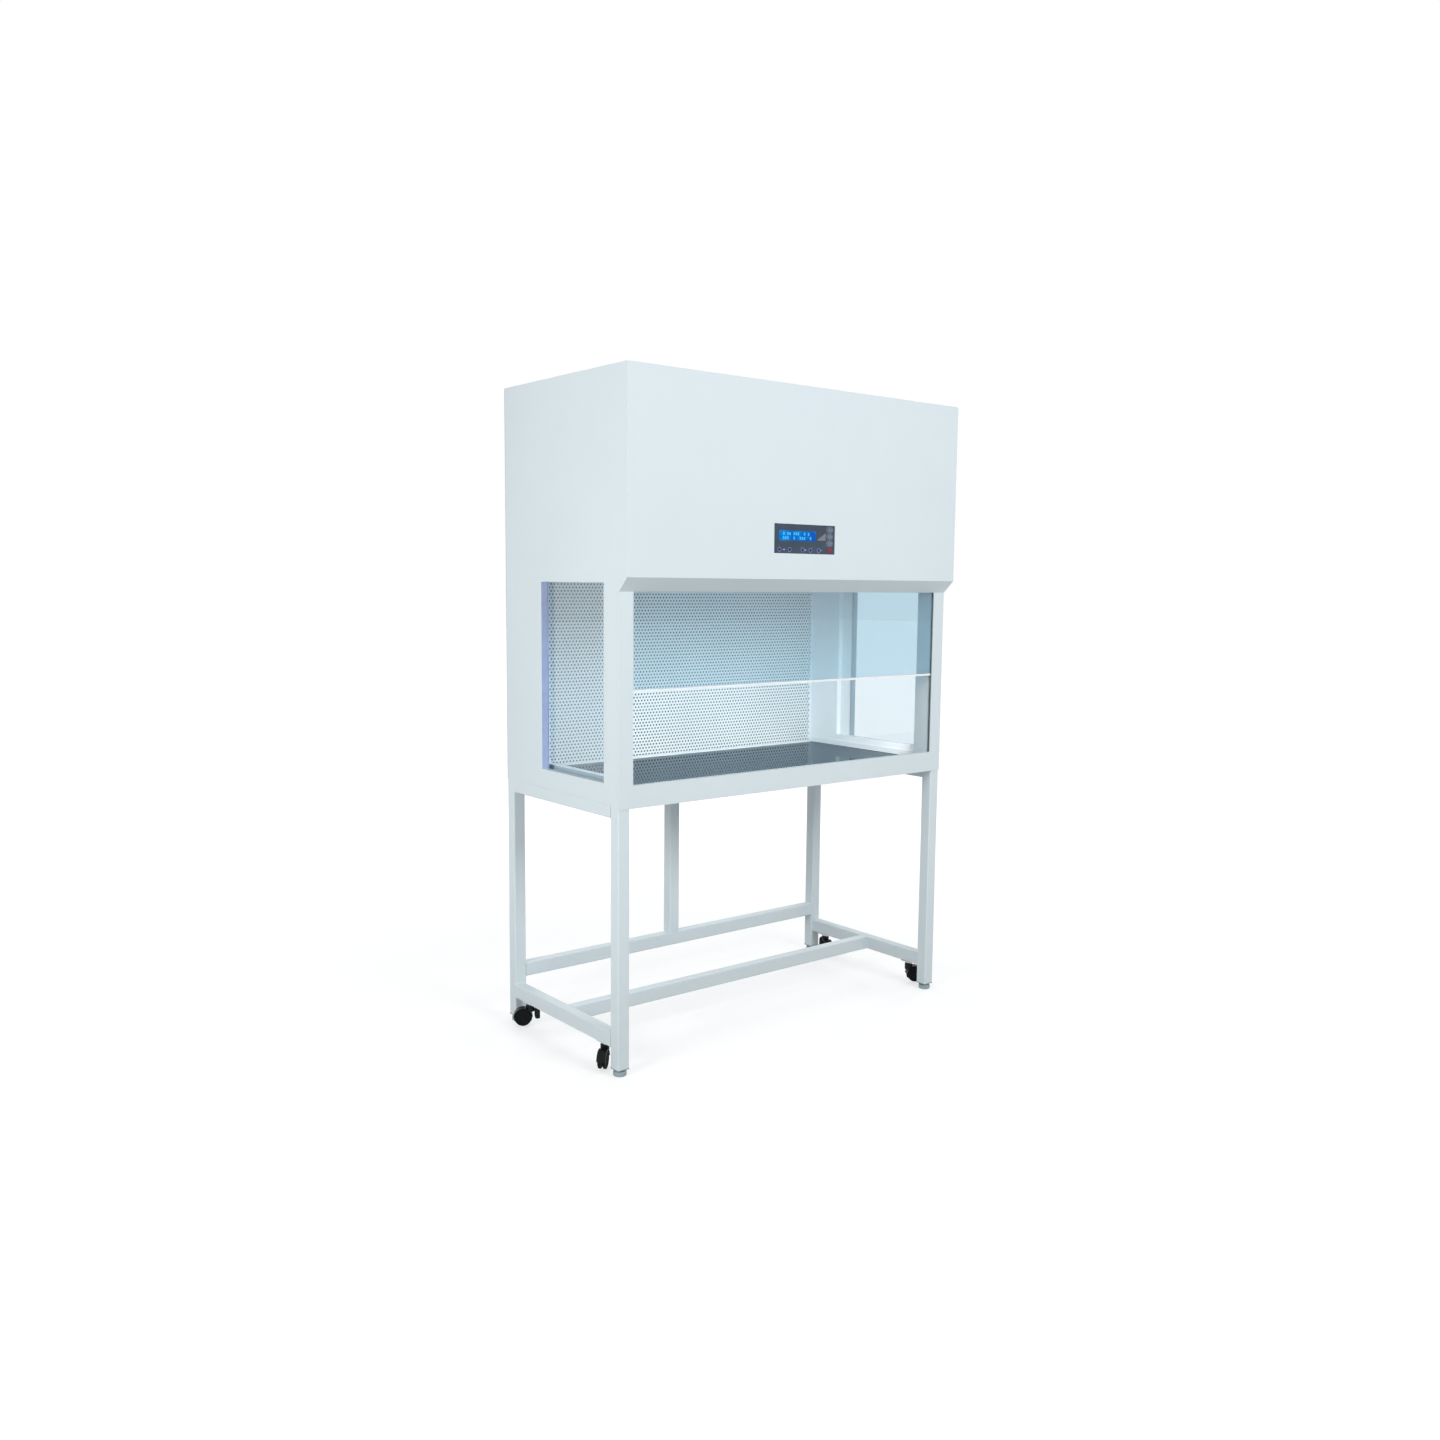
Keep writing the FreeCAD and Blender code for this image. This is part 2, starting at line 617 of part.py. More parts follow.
def blower_deck():
    """Pressure box over the filter. The two blower outlets open through its lid."""
    x0 = WALL + 8
    x1 = WIDTH - WALL - 8
    z0 = SHELF_Z + SHEET + FILTER_HIGH
    shell = box(x0, x1, 74, 556, z0, DECK_Z)
    shell = shell.cut(box(x0 + SHEET, x1 - SHEET, 74 + SHEET, 556 - SHEET, z0 - 1, DECK_Z - SHEET))
    holes = [box(x - WHEEL_WIDE / 2, x + WHEEL_WIDE / 2, OUTLET_Y[0], OUTLET_Y[1], DECK_Z - 5, DECK_Z + 1)
             for x in BLOWER_X]
    return cut(shell, holes)


# Blowers: two scrolls on one motor shaft. Each scroll is a spiral casing open to the sides at
# the inlet rings and downwards at the outlet.
OUTLET_Y = (BLOWER_Y - 140.0, BLOWER_Y - 30.0)
SCROLL_STEPS = 22
SCROLL_SHEET = 2.0


def spiral(offset, x0, x1):
    """Spiral outline that starts at the cut-off and grows round to the outlet's far wall."""
    points = []
    for i in range(SCROLL_STEPS + 1):
        turn = i / SCROLL_STEPS
        angle = math.radians(-62 + 242 * turn)
        reach = 90 + 50 * turn - offset
        points.append((BLOWER_Y + reach * math.cos(angle), BLOWER_Z + reach * math.sin(angle)))
    points.append((OUTLET_Y[0] + offset, DECK_Z))
    points.append((OUTLET_Y[1] - offset, DECK_Z))
    return profile_x(points, x0, x1)


def blower_casings():
    casings = []
    for x in BLOWER_X:
        half = WHEEL_WIDE / 2 + 8
        outer = spiral(0, x - half, x + half)
        inner = spiral(SCROLL_SHEET, x - half + SCROLL_SHEET, x + half - SCROLL_SHEET)
        mouth = box(x - half + SCROLL_SHEET, x + half - SCROLL_SHEET, OUTLET_Y[0] + SCROLL_SHEET,
                    OUTLET_Y[1] - SCROLL_SHEET, DECK_Z - 1, DECK_Z + 4)
        inlets = along_x(x - half - 1, x + half + 1, BLOWER_Y, BLOWER_Z, WHEEL_RADIUS - 14)
        casings.append(cut(outer, [inner, mouth, inlets]))
    return Part.makeCompound(casings)


def blower_motor():
    """Round motor on a saddle, with a bearing bore along the shaft."""
    centre = WIDTH / 2
    can = along_x(centre - 75, centre + 75, BLOWER_Y, BLOWER_Z, 60)
    caps = [along_x(centre - 90, centre - 75, BLOWER_Y, BLOWER_Z, 22),
            along_x(centre + 75, centre + 90, BLOWER_Y, BLOWER_Z, 22)]
    saddle = box(centre - 50, centre + 50, BLOWER_Y - 45, BLOWER_Y + 45, DECK_Z, BLOWER_Z)
    saddle = saddle.cut(box(centre - 44, centre + 44, BLOWER_Y - 60, BLOWER_Y + 60,
                            DECK_Z + 6, BLOWER_Z + 1))
    base = box(centre - 60, centre + 60, BLOWER_Y - 60, BLOWER_Y + 60, DECK_Z, DECK_Z + 4)
    body = fuse([can] + caps + [saddle, base])
    return body.cut(along_x(centre - 120, centre + 120, BLOWER_Y, BLOWER_Z, 6.1))


def blower_wheels():
    """Shaft with two squirrel-cage wheels. Each blade is a thin arc curved forward."""
    solids = [along_x(BLOWER_X[0] - 30, BLOWER_X[1] + 30, BLOWER_Y, BLOWER_Z, 6.0)]
    for x in BLOWER_X:
        half = WHEEL_WIDE / 2 - 4
        outer = WHEEL_RADIUS
        inner = WHEEL_RADIUS - 15
        for end in (x - half, x + half - 3):
            ring = along_x(end, end + 3, BLOWER_Y, BLOWER_Z, outer)
            solids.append(ring.cut(along_x(end - 1, end + 4, BLOWER_Y, BLOWER_Z, inner)))
        solids.append(along_x(x - 1.5, x + 1.5, BLOWER_Y, BLOWER_Z, outer - 1))
        solids.append(along_x(x - 15, x + 15, BLOWER_Y, BLOWER_Z, 14))
        for i in range(BLADES):
            base = 2 * math.pi * i / BLADES
            front = []
            back = []
            for step in range(4):
                share = step / 3
                r = inner + 0.5 + (outer - inner - 1) * share
                lean = 0.16 * share * share
                for side, shift in ((front, 0.0), (back, 1.4 / r)):
                    a = base + lean + shift
                    side.append(V(x - half + 1, BLOWER_Y + r * math.cos(a), BLOWER_Z + r * math.sin(a)))
            outline = front + back[::-1]
            blade = Part.Face(Part.makePolygon(outline + [outline[0]]))
            solids.append(blade.extrude(V(2 * half - 2, 0, 0)))
    return fuse_many(solids)


def fuse_many(solids):
    return solids[0].multiFuse(solids[1:])


# Sash: a glass pane that slides behind the front flanges, with a bright bottom trim and two
# clips for the balance ropes.
def sash():
    x0 = SASH_EDGE
    x1 = WIDTH - SASH_EDGE
    trim_top = SASH_BOTTOM + 6
    glass = box(x0, x1, GLASS_Y, GLASS_Y + GLASS, SASH_BOTTOM + 2, SASH_BOTTOM + SASH_HIGH)
    trim = profile_x([
        (GLASS_Y - 0.4, SASH_BOTTOM), (GLASS_Y + GLASS + 0.4, SASH_BOTTOM),
        (GLASS_Y + GLASS + 0.4, trim_top), (GLASS_Y + GLASS, trim_top),
        (GLASS_Y + GLASS, SASH_BOTTOM + 2), (GLASS_Y, SASH_BOTTOM + 2), (GLASS_Y, trim_top),
        (GLASS_Y - 0.4, trim_top),
    ], x0 + 1, x1 - 1)
    top = SASH_BOTTOM + SASH_HIGH
    clips = []
    for x in (WEIGHT_X, WIDTH - WEIGHT_X):
        clip = box(x - 8, x + 8, GLASS_Y, GLASS_Y + GLASS, top, top + 12)
        clips.append(clip.cut(along_y(GLASS_Y - 1, GLASS_Y + GLASS + 1, x, top + 6, 2.5)))
    save("sash_glass", glass)
    save("sash_edge_trim", trim)
    save("sash_rope_clips", Part.makeCompound(clips))


# Balance: two steel bars in the posts hang on ropes over two pulleys behind the canopy.
WEIGHT_SIZE = (28.0, 36.0, 470.0)
WEIGHT_BOTTOM = 965.0


def balance():
    y = GLASS_Y + GLASS / 2 + 2 * PULLEY_RADIUS
    bars = []
    wheels = []
    brackets = []
    for x in (WEIGHT_X, WIDTH - WEIGHT_X):
        wide, deep, high = WEIGHT_SIZE
        bar = box(x - wide / 2, x + wide / 2, y - deep / 2, y + deep / 2,
                  WEIGHT_BOTTOM, WEIGHT_BOTTOM + high)
        bar = bar.makeFillet(2.0, [e for e in bar.Edges if abs(e.tangentAt(0).z) > 0.9])
        eye = box(x - 2, x + 2, y - 6, y + 6, WEIGHT_BOTTOM + high, WEIGHT_BOTTOM + high + 14)
        eye = eye.cut(along_x(x - 3, x + 3, y, WEIGHT_BOTTOM + high + 8, 2.5))
        bars.append(bar.fuse(eye))
        middle = y - PULLEY_RADIUS
        rim = PULLEY_RADIUS + 1.5
        outline = [(3.1, -4), (rim, -4), (rim, -3), (PULLEY_RADIUS - 1.0, -1), (PULLEY_RADIUS - 1.0, 1),
                   (rim, 3), (rim, 4), (3.1, 4)]
        corners = [V(x + w, middle + r, PULLEY_Z) for r, w in outline]
        face = Part.Face(Part.makePolygon(corners + [corners[0]]))
        wheels.append(face.revolve(V(x, middle, PULLEY_Z), V(1, 0, 0), 360))
        outer = box(x - 7, x + 7, middle - 8, middle + 8, PULLEY_Z - 8, HEIGHT - SHEET)
        fork = outer.cut(box(x - 4.6, x + 4.6, middle - 20, middle + 20, PULLEY_Z - 9, PULLEY_Z + 20))
        pin = along_x(x - 7, x + 7, middle, PULLEY_Z, 3.0)
        brackets.append(fork.fuse(pin))
    save("balance_weights", Part.makeCompound(bars))
    save("balance_pulleys", Part.makeCompound(wheels))
    save("pulley_brackets", Part.makeCompound(brackets))


# Control panel: a bezel let into the canopy, the display window, four oval keys and the
# circuit board behind them.
BEZEL_Y = 1.2
BEZEL_BACK = 4.2
BEZEL_LIP = 5.0
GLASS_SUNK = 0.2
KEY_FACE_Y = 0.2
KEY_BACK_Y = 8.0
KEY_PLAY = 0.25
KEY_RIM = 1.2
BOARD_Y = (10.5, 12.1)
SWITCH_HALF = 3.0
SWITCH_DEEP = 1.5


def oval(z, half_wide, half_tall, y0, y1):
    """Elliptic rod along Y at a key's place."""
    curve = Part.Ellipse(V(0, 0, 0), half_wide, half_tall)
    rod = Part.Face(Part.Wire(curve.toShape())).extrude(V(0, 0, y1 - y0))
    rod.rotate(V(0, 0, 0), V(1, 0, 0), -90)
    rod.translate(V(KEY_X, y0, z))
    return rod


def control_panel():
    x0, x1 = PANEL_X
    z0, z1 = PANEL_Z
    plate = box(x0, x1, BEZEL_Y, BEZEL_BACK, z0, z1)
    lip = box(x0 - BEZEL_LIP, x1 + BEZEL_LIP, SHEET, BEZEL_BACK, z0 - BEZEL_LIP, z1 + BEZEL_LIP)
    bezel = plate.fuse(lip).removeSplitter()
    holes = [oval(z, KEY_HALF_WIDE + KEY_PLAY, KEY_HALF_TALL + KEY_PLAY, 0, BEZEL_BACK + 1) for z in KEY_Z]
    view = box(DISPLAY_X[0], DISPLAY_X[1], 0, BEZEL_BACK, DISPLAY_Z[0], DISPLAY_Z[1])
    glass = box(DISPLAY_X[0], DISPLAY_X[1], BEZEL_Y + GLASS_SUNK, BEZEL_BACK, DISPLAY_Z[0], DISPLAY_Z[1])
    save("control_bezel", cut(bezel, holes + [view]))
    save("display_window", glass)
    for label, z in zip(("fan", "lamp", "uv", "power"), KEY_Z):
        stem = oval(z, KEY_HALF_WIDE, KEY_HALF_TALL, KEY_FACE_Y, KEY_BACK_Y)
        rim = oval(z, KEY_HALF_WIDE + KEY_RIM, KEY_HALF_TALL + KEY_RIM, BEZEL_BACK, BEZEL_BACK + KEY_RIM)
        save("key_" + label, stem.fuse(rim).removeSplitter())
    front, back = BOARD_Y
    board = box(x0 - 2, x1 + 2, front, back, z0 - 2, z1 + 2)
    switches = [box(KEY_X - SWITCH_HALF, KEY_X + SWITCH_HALF, front - SWITCH_DEEP, front,
                    z - SWITCH_HALF, z + SWITCH_HALF) for z in KEY_Z]
    module = box(DISPLAY_X[0] - 6, DISPLAY_X[1] + 6, BEZEL_BACK, front, DISPLAY_Z[0] - 6, DISPLAY_Z[1] + 6)
    posts = [along_y(BEZEL_BACK, front, x, z, 3) for x in (x0 + 2, x1 - 2) for z in (z0 + 2, z1 - 2)]
    save("control_board", fuse([board] + switches + [module] + posts))


# Lamps: a white lamp and a germicidal lamp, side by side in one fitting under the ceiling.
LAMP_X = (147.0, 1047.0)
LAMP_Y = (92.0, 122.0)
LAMP_Z = CEILING_Z - 16.0


def lamps():
    tubes = []
    holders = []
    for y in LAMP_Y:
        tubes.append(along_x(LAMP_X[0], LAMP_X[1], y, LAMP_Z, 8))
        for x0, x1 in ((LAMP_X[0] - 10, LAMP_X[0]), (LAMP_X[1], LAMP_X[1] + 10)):
            holders.append(box(x0, x1, y - 9, y + 9, LAMP_Z - 9, CEILING_Z - 4))
    plate = box(LAMP_X[0] - 12, LAMP_X[1] + 12, LAMP_Y[0] - 12, LAMP_Y[1] + 12, CEILING_Z - 4, CEILING_Z)
    save("lamp_fitting", Part.makeCompound([fuse([plate] + holders)] + tubes))


def power_inlet():
    """Three-pin inlet let into the rear panel, with its flange inside the canopy."""
    wide = INLET_WIDE / 2
    high = INLET_HIGH / 2
    outer = box(INLET_X - wide - 1, INLET_X + wide + 1, BODY_BACK - 27, BODY_BACK,
                INLET_Z - high - 1, INLET_Z + high + 1)
    flange = box(INLET_X - wide - 10, INLET_X + wide + 10, BODY_BACK - SHEET - 3, BODY_BACK - SHEET,
                 INLET_Z - high - 4, INLET_Z + high + 4)
    well = profile_y([
        (INLET_X - 12, INLET_Z - 8), (INLET_X + 12, INLET_Z - 8), (INLET_X + 12, INLET_Z + 3),
        (INLET_X + 7, INLET_Z + 8), (INLET_X - 7, INLET_Z + 8), (INLET_X - 12, INLET_Z + 3),
    ], BODY_BACK - 20, BODY_BACK + 1)
    body = outer.fuse(flange).cut(well)
    pins = [box(INLET_X + dx - 1, INLET_X + dx + 1, BODY_BACK - 21, BODY_BACK - 5,
                INLET_Z + dz - 2, INLET_Z + dz + 2) for dx, dz in ((-7, -2), (0, 2), (7, -2))]
    return fuse([body] + pins)


stand()
levelling_feet()
casters()
left_panel = side_panel()
save("side_panel_left", left_panel)
save("side_panel_right", mirror(left_panel))
save("side_liners", pair(side_liner()))
save("side_windows", pair(side_pane()))
save("front_posts", pair(front_post()))
save("sash_guides", pair(sash_guide()))
save("front_apron", front_apron())
save("canopy_front", canopy_front())
save("base_pan", base_pan())
save("worktop", worktop())
save("air_screen", air_screen())
save("rear_panel", rear_panel())
save("rear_screws", rear_screws())
save("roof", roof())
save("prefilter", prefilter())
save("supply_box", supply_box())
save("main_filter", main_filter())
save("blower_deck", blower_deck())
save("blower_casings", blower_casings())
save("blower_motor", blower_motor())
save("blower_wheels", blower_wheels())
sash()
balance()
control_panel()
lamps()
save("power_inlet", power_inlet())
print(len(names), "nodes")
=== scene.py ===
import bpy
import math
from mathutils import Matrix, Vector


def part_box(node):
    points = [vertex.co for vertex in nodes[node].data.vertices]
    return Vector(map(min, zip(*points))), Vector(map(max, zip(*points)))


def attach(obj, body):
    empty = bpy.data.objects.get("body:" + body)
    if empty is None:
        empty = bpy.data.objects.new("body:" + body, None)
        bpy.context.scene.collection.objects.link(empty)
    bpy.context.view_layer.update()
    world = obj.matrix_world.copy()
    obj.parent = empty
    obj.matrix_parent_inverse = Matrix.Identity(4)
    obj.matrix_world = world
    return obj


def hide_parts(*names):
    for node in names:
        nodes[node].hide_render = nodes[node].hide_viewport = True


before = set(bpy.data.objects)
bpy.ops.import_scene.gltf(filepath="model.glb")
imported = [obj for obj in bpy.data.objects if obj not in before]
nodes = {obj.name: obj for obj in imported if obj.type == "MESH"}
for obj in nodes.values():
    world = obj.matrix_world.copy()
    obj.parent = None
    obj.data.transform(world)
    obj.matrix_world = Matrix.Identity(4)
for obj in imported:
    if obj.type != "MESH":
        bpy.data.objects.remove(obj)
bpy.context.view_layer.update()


# Stand: legs, rails, bars and a short rear post of square steel tube. They are sawn, welded into
# one frame, ground flush and powder coated, and the cabinet stands on the top rails.
POWDER_WHITE = "#DDE9ED"
POWDER_SHADE = "#DAE6EB"
POWDER_SCUFF = "#C6D0D4"
CLOUD_MM = 420.0
SPECK_MM = 14.0
# The real ripple is about half as wide, which is too fine to show, so it is drawn coarser.
RIPPLE_MM = 1.6
RIPPLE_DEPTH_M = 0.0004
SATIN_SMOOTH = 0.36
SATIN_ROUGH = 0.48
SCUFF_TOP_M = 0.45
SCUFF_SHARE = 0.55
COAT_IOR = 1.5


def linear(hex_colour):
    """sRGB hex to the linear colour that a shader socket takes."""
    channels = [int(hex_colour[i:i + 2], 16) / 255 for i in (1, 3, 5)]
    curve = [c / 12.92 if c <= 0.04045 else ((c + 0.055) / 1.055) ** 2.4 for c in channels]
    return (*curve, 1.0)


def per_metre(size_mm):
    """Scale of a texture whose features are that many millimetres wide."""
    return 1000.0 / size_mm


def add(tree, kind, links=None, sockets=None, stops=(), **settings):
    """A node with its settings, its input values, links from other nodes and colour stops."""
    made = tree.nodes.new(kind)
    for key, value in settings.items():
        setattr(made, key, value)
    for key, value in (sockets or {}).items():
        made.inputs[key].default_value = value
    for key, (source, output) in (links or {}).items():
        tree.links.new(source.outputs[output], made.inputs[key])
    for i, (position, hex_colour) in enumerate(stops):
        made.color_ramp.elements[i].position = position
        made.color_ramp.elements[i].color = linear(hex_colour)
    return made


def new_material(name, **shader_sockets):
    """An empty material with its shader and the part's own coordinates in metres."""
    material = bpy.data.materials.new(name)
    material.use_nodes = True
    tree = material.node_tree
    tree.nodes.clear()
    place = add(tree, "ShaderNodeTexCoord")
    shader = add(tree, "ShaderNodeBsdfPrincipled", sockets=shader_sockets)
    add(tree, "ShaderNodeOutputMaterial", {"Surface": (shader, "BSDF")}, name="surface")
    return material, tree, place, shader


def finish_node(names, material):
    """Gives CAD nodes a finish by their own material slots."""
    for name in names:
        target = nodes[name]
        if not target.data.materials:
            target.data.materials.append(material)
        for slot in target.material_slots:
            slot.material = material


def powder_coat(name, light, shade, scuffed):
    """Coat that is sprayed on as powder and baked, with slow clouds of colour and a fine ripple."""
    material, tree, place, shader = new_material(name, IOR=COAT_IOR)
    clouds = add(tree, "ShaderNodeTexNoise", {"Vector": (place, "Object")},
                 sockets={"Scale": per_metre(CLOUD_MM), "Detail": 3.0, "Roughness": 0.55})
    colour = add(tree, "ShaderNodeValToRGB", {"Fac": (clouds, "Fac")},
                 stops=[(0.32, shade), (0.68, light)])
    height = add(tree, "ShaderNodeSeparateXYZ", {"Vector": (place, "Object")})
    low_down = add(tree, "ShaderNodeMapRange", {"Value": (height, "Z")},
                   sockets={"From Min": 0.0, "From Max": SCUFF_TOP_M, "To Min": SCUFF_SHARE,
                            "To Max": 0.0})
    specks = add(tree, "ShaderNodeTexNoise", {"Vector": (place, "Object")},
                 sockets={"Scale": per_metre(SPECK_MM), "Detail": 6.0, "Roughness": 0.7})
    dirt = add(tree, "ShaderNodeMath", {0: (low_down, "Result"), 1: (specks, "Fac")},
               operation="MULTIPLY")
    mixed = add(tree, "ShaderNodeMix", {"Factor": (dirt, "Value"), 6: (colour, "Color")},
                data_type="RGBA", sockets={7: linear(scuffed)})
    tree.links.new(mixed.outputs[2], shader.inputs["Base Color"])
    ripple = add(tree, "ShaderNodeTexNoise", {"Vector": (place, "Object")},
                 sockets={"Scale": per_metre(RIPPLE_MM), "Detail": 2.0, "Roughness": 0.5})
    bump = add(tree, "ShaderNodeBump", {"Height": (ripple, "Fac")},
               sockets={"Strength": 0.06, "Distance": RIPPLE_DEPTH_M})
    tree.links.new(bump.outputs["Normal"], shader.inputs["Normal"])
    satin = add(tree, "ShaderNodeMapRange", {"Value": (specks, "Fac")},
                sockets={"To Min": SATIN_SMOOTH, "To Max": SATIN_ROUGH})
    tree.links.new(satin.outputs["Result"], shader.inputs["Roughness"])
    return material


# The powder melts to a satin skin: a soft sheen that never mirrors, and a duller, greyer foot
# where shoes and mops reach it.
powder_coated_steel = powder_coat("powder_coated_steel", POWDER_WHITE, POWDER_SHADE, POWDER_SCUFF)
finish_node([
    "stand_legs_front", "stand_legs_rear", "stand_top_rails_side", "stand_top_rail_rear",
    "stand_lower_bars", "stand_crossbar_centre", "stand_crossbar_rear", "stand_post_rear_centre",
], powder_coated_steel)


# Levelling feet: a plug of glass-filled nylon closes each leg, and a wide moulded pad on a
# threaded stud turns in it.
DRIFT_MM = 35.0
# Real mould grain is about 0.2 mm wide, which is too fine to show, so it is drawn coarser.
GRAIN_MM = 0.7
GRAIN_DEPTH_M = 0.0001
PLASTIC_IOR = 1.49
CORNERS = ("front_left", "front_right", "rear_left", "rear_right")


def moulded_plastic(name, light, dark, rough_low, rough_high, grain_mm=GRAIN_MM, depth=0.25,
                    gleam=0.5):
    """Injection moulded plastic with the mould's grain and slow differences in colour."""
    material, tree, place, shader = new_material(
        name, IOR=PLASTIC_IOR, **{"Specular IOR Level": gleam})
    drift = add(tree, "ShaderNodeTexNoise", {"Vector": (place, "Object")},
                sockets={"Scale": per_metre(DRIFT_MM), "Detail": 4.0})
    colour = add(tree, "ShaderNodeValToRGB", {"Fac": (drift, "Fac")},
                 stops=[(0.3, dark), (0.7, light)])
    tree.links.new(colour.outputs["Color"], shader.inputs["Base Color"])
    grain = add(tree, "ShaderNodeTexVoronoi", {"Vector": (place, "Object")},
                sockets={"Scale": per_metre(grain_mm)})
    bump = add(tree, "ShaderNodeBump", {"Height": (grain, "Distance")},
               sockets={"Strength": depth, "Distance": GRAIN_DEPTH_M})
    tree.links.new(bump.outputs["Normal"], shader.inputs["Normal"])
    rough = add(tree, "ShaderNodeMapRange", {"Value": (drift, "Fac")},
                sockets={"To Min": rough_low, "To Max": rough_high})
    tree.links.new(rough.outputs["Result"], shader.inputs["Roughness"])
    return material


# Glass fibres just under the skin make this nylon a matt, slightly cloudy grey.
foot_plastic = moulded_plastic("glass_filled_nylon", "#A3B4B8", "#93A4A9", 0.5, 0.65)
finish_node(["levelling_foot_" + corner for corner in CORNERS] + ["leg_plugs"], foot_plastic)


# Casters: a black moulded hood that swivels on its pin, twin wheels on one axle, and on the rear
# pair a deep brake pedal that is hinged behind the neck.
TREAD_GRAIN_MM = 1.2
# Hood and pedal leave a smooth mould, so the black has soft highlights along its edges.
black_moulding = moulded_plastic("black_moulded_nylon", "#101213", "#0A0B0C", 0.30, 0.42, gleam=0.2)
finish_node(["caster_housing_" + corner for corner in CORNERS], black_moulding)
finish_node(["caster_pedal_rear_left", "caster_pedal_rear_right"], black_moulding)
# The tread is softer and picks up dust, so it looks duller and a little greyer than the hood.
black_tread = moulded_plastic("black_tread_rubber", "#17191A", "#0E1011", 0.55, 0.75,
                              grain_mm=TREAD_GRAIN_MM, gleam=0.15)
finish_node(["caster_wheels_" + corner for corner in CORNERS], black_tread)


# Small steel parts: the casters' plates and pins, the screws of the rear panel, the forks of the
# balance pulleys and the rope clips. They are pressed or turned, then zinc plated and passivated.
# Real rolling and polishing lines are far finer than this, so they are drawn coarser, to show.
POLISH_MM = 0.9
POLISH_STRETCH = 0.012
POLISH_DEPTH_M = 0.0002
ALONG_X = (POLISH_STRETCH, 1.0, 1.0)
ALONG_Z = (1.0, 1.0, POLISH_STRETCH)
NO_RUN = (1.0, 1.0, 1.0)


def rolled_sheet(name, light, dark, rough_low, rough_high, run=ALONG_X, grazing="#FFFFFF"):
    """Bare metal with rolling or polishing lines in one direction."""
    material, tree, place, shader = new_material(
        name, Metallic=1.0, **{"Specular Tint": linear(grazing)})
    stretched = add(tree, "ShaderNodeMapping", {"Vector": (place, "Object")},
                    sockets={"Scale": run})
    lines = add(tree, "ShaderNodeTexNoise", {"Vector": (stretched, "Vector")},
                sockets={"Scale": per_metre(POLISH_MM), "Detail": 4.0, "Roughness": 0.6})
    tint = add(tree, "ShaderNodeValToRGB", {"Fac": (lines, "Fac")},
               stops=[(0.35, dark), (0.65, light)])
    tree.links.new(tint.outputs["Color"], shader.inputs["Base Color"])
    rough = add(tree, "ShaderNodeMapRange", {"Value": (lines, "Fac")},
                sockets={"To Min": rough_low, "To Max": rough_high})
    tree.links.new(rough.outputs["Result"], shader.inputs["Roughness"])
    bump = add(tree, "ShaderNodeBump", {"Height": (lines, "Fac")},
               sockets={"Strength": 0.05, "Distance": POLISH_DEPTH_M})
    tree.links.new(bump.outputs["Normal"], shader.inputs["Normal"])
    return material


# Bright zinc is a light, cool metal with a broad, slightly milky highlight.
zinc_plate = rolled_sheet("bright_zinc_plate", "#C9CED1", "#B4BABE", 0.20, 0.36)
finish_node(["caster_mounts", "rear_screws", "pulley_brackets", "sash_rope_clips"], zinc_plate)


# Cabinet skin: sheet steel, folded at the edges and joined behind the folds, so that only two
# fine seams show, one on each side over the stand. It takes the stand's powder coat.
finish_node([
    "side_panel_left", "side_panel_right", "front_posts", "front_apron", "canopy_front",
    "base_pan", "roof",
], powder_coated_steel)


# Rear panel: one steel sheet with folded edges, screwed to the flanges of the sides. It is powder
# coated outside. Its inner face is the back of the air duct, and its dark grey is painted shade
# for the duct behind the air screen.
# Two dark greys of painted shade for the duct behind the air screen, mottled slowly.
DUCT_SHADE_GREY = "#2E353A"
DUCT_SHADE_DARK = "#272D32"
SHADE_TO_Y = 0.29555
SHADE_MOTTLE_MM = 60.0


def shade_painted_inside(name):
    """Powder coat on the outer face, and dark grey painted shade on all that lies further in."""
    material = powder_coat(name, POWDER_WHITE, POWDER_SHADE, POWDER_SCUFF)
    tree = material.node_tree
    shader = next(node for node in tree.nodes if node.type == "BSDF_PRINCIPLED")
    coat = shader.inputs["Base Color"].links[0].from_socket
    place = add(tree, "ShaderNodeTexCoord")
    axes = add(tree, "ShaderNodeSeparateXYZ", {"Vector": (place, "Object")})
    outside = add(tree, "ShaderNodeMath", {0: (axes, "Y")}, operation="GREATER_THAN",
                  sockets={1: SHADE_TO_Y})
    shade_mottle = add(tree, "ShaderNodeTexNoise", {"Vector": (place, "Object")},
                sockets={"Scale": per_metre(SHADE_MOTTLE_MM), "Detail": 3.0})
    duct_shade = add(tree, "ShaderNodeValToRGB", {"Fac": (shade_mottle, "Fac")},
                 stops=[(0.35, DUCT_SHADE_DARK), (0.65, DUCT_SHADE_GREY)])
    both = add(tree, "ShaderNodeMix", {"Factor": (outside, "Value"), 6: (duct_shade, "Color")},
               data_type="RGBA")
    tree.links.new(coat, both.inputs[7])
    tree.links.new(both.outputs[2], shader.inputs["Base Color"])
    return material


# The dark grey behind the air screen is painted shade, and it is what makes its holes look dark.
finish_node(["rear_panel"], shade_painted_inside("powder_coat_over_painted_duct_shade"))


# Worktop: a stainless tray with upturned sides, which stands on folded edges in the base pan.
# The sheet is polished until it mirrors the perforated wall.
STEEL_LIGHT = "#B4BCC1"
STEEL_DARK = "#A6AFB5"
STEEL_GRAZING = "#9FA9B0"
# A deep grey mirror with faint lines from side to side. It stays grey at a low angle too.
polished_stainless = rolled_sheet("polished_stainless", STEEL_LIGHT, STEEL_DARK, 0.03, 0.07,
                                  grazing=STEEL_GRAZING)
finish_node(["worktop"], polished_stainless)


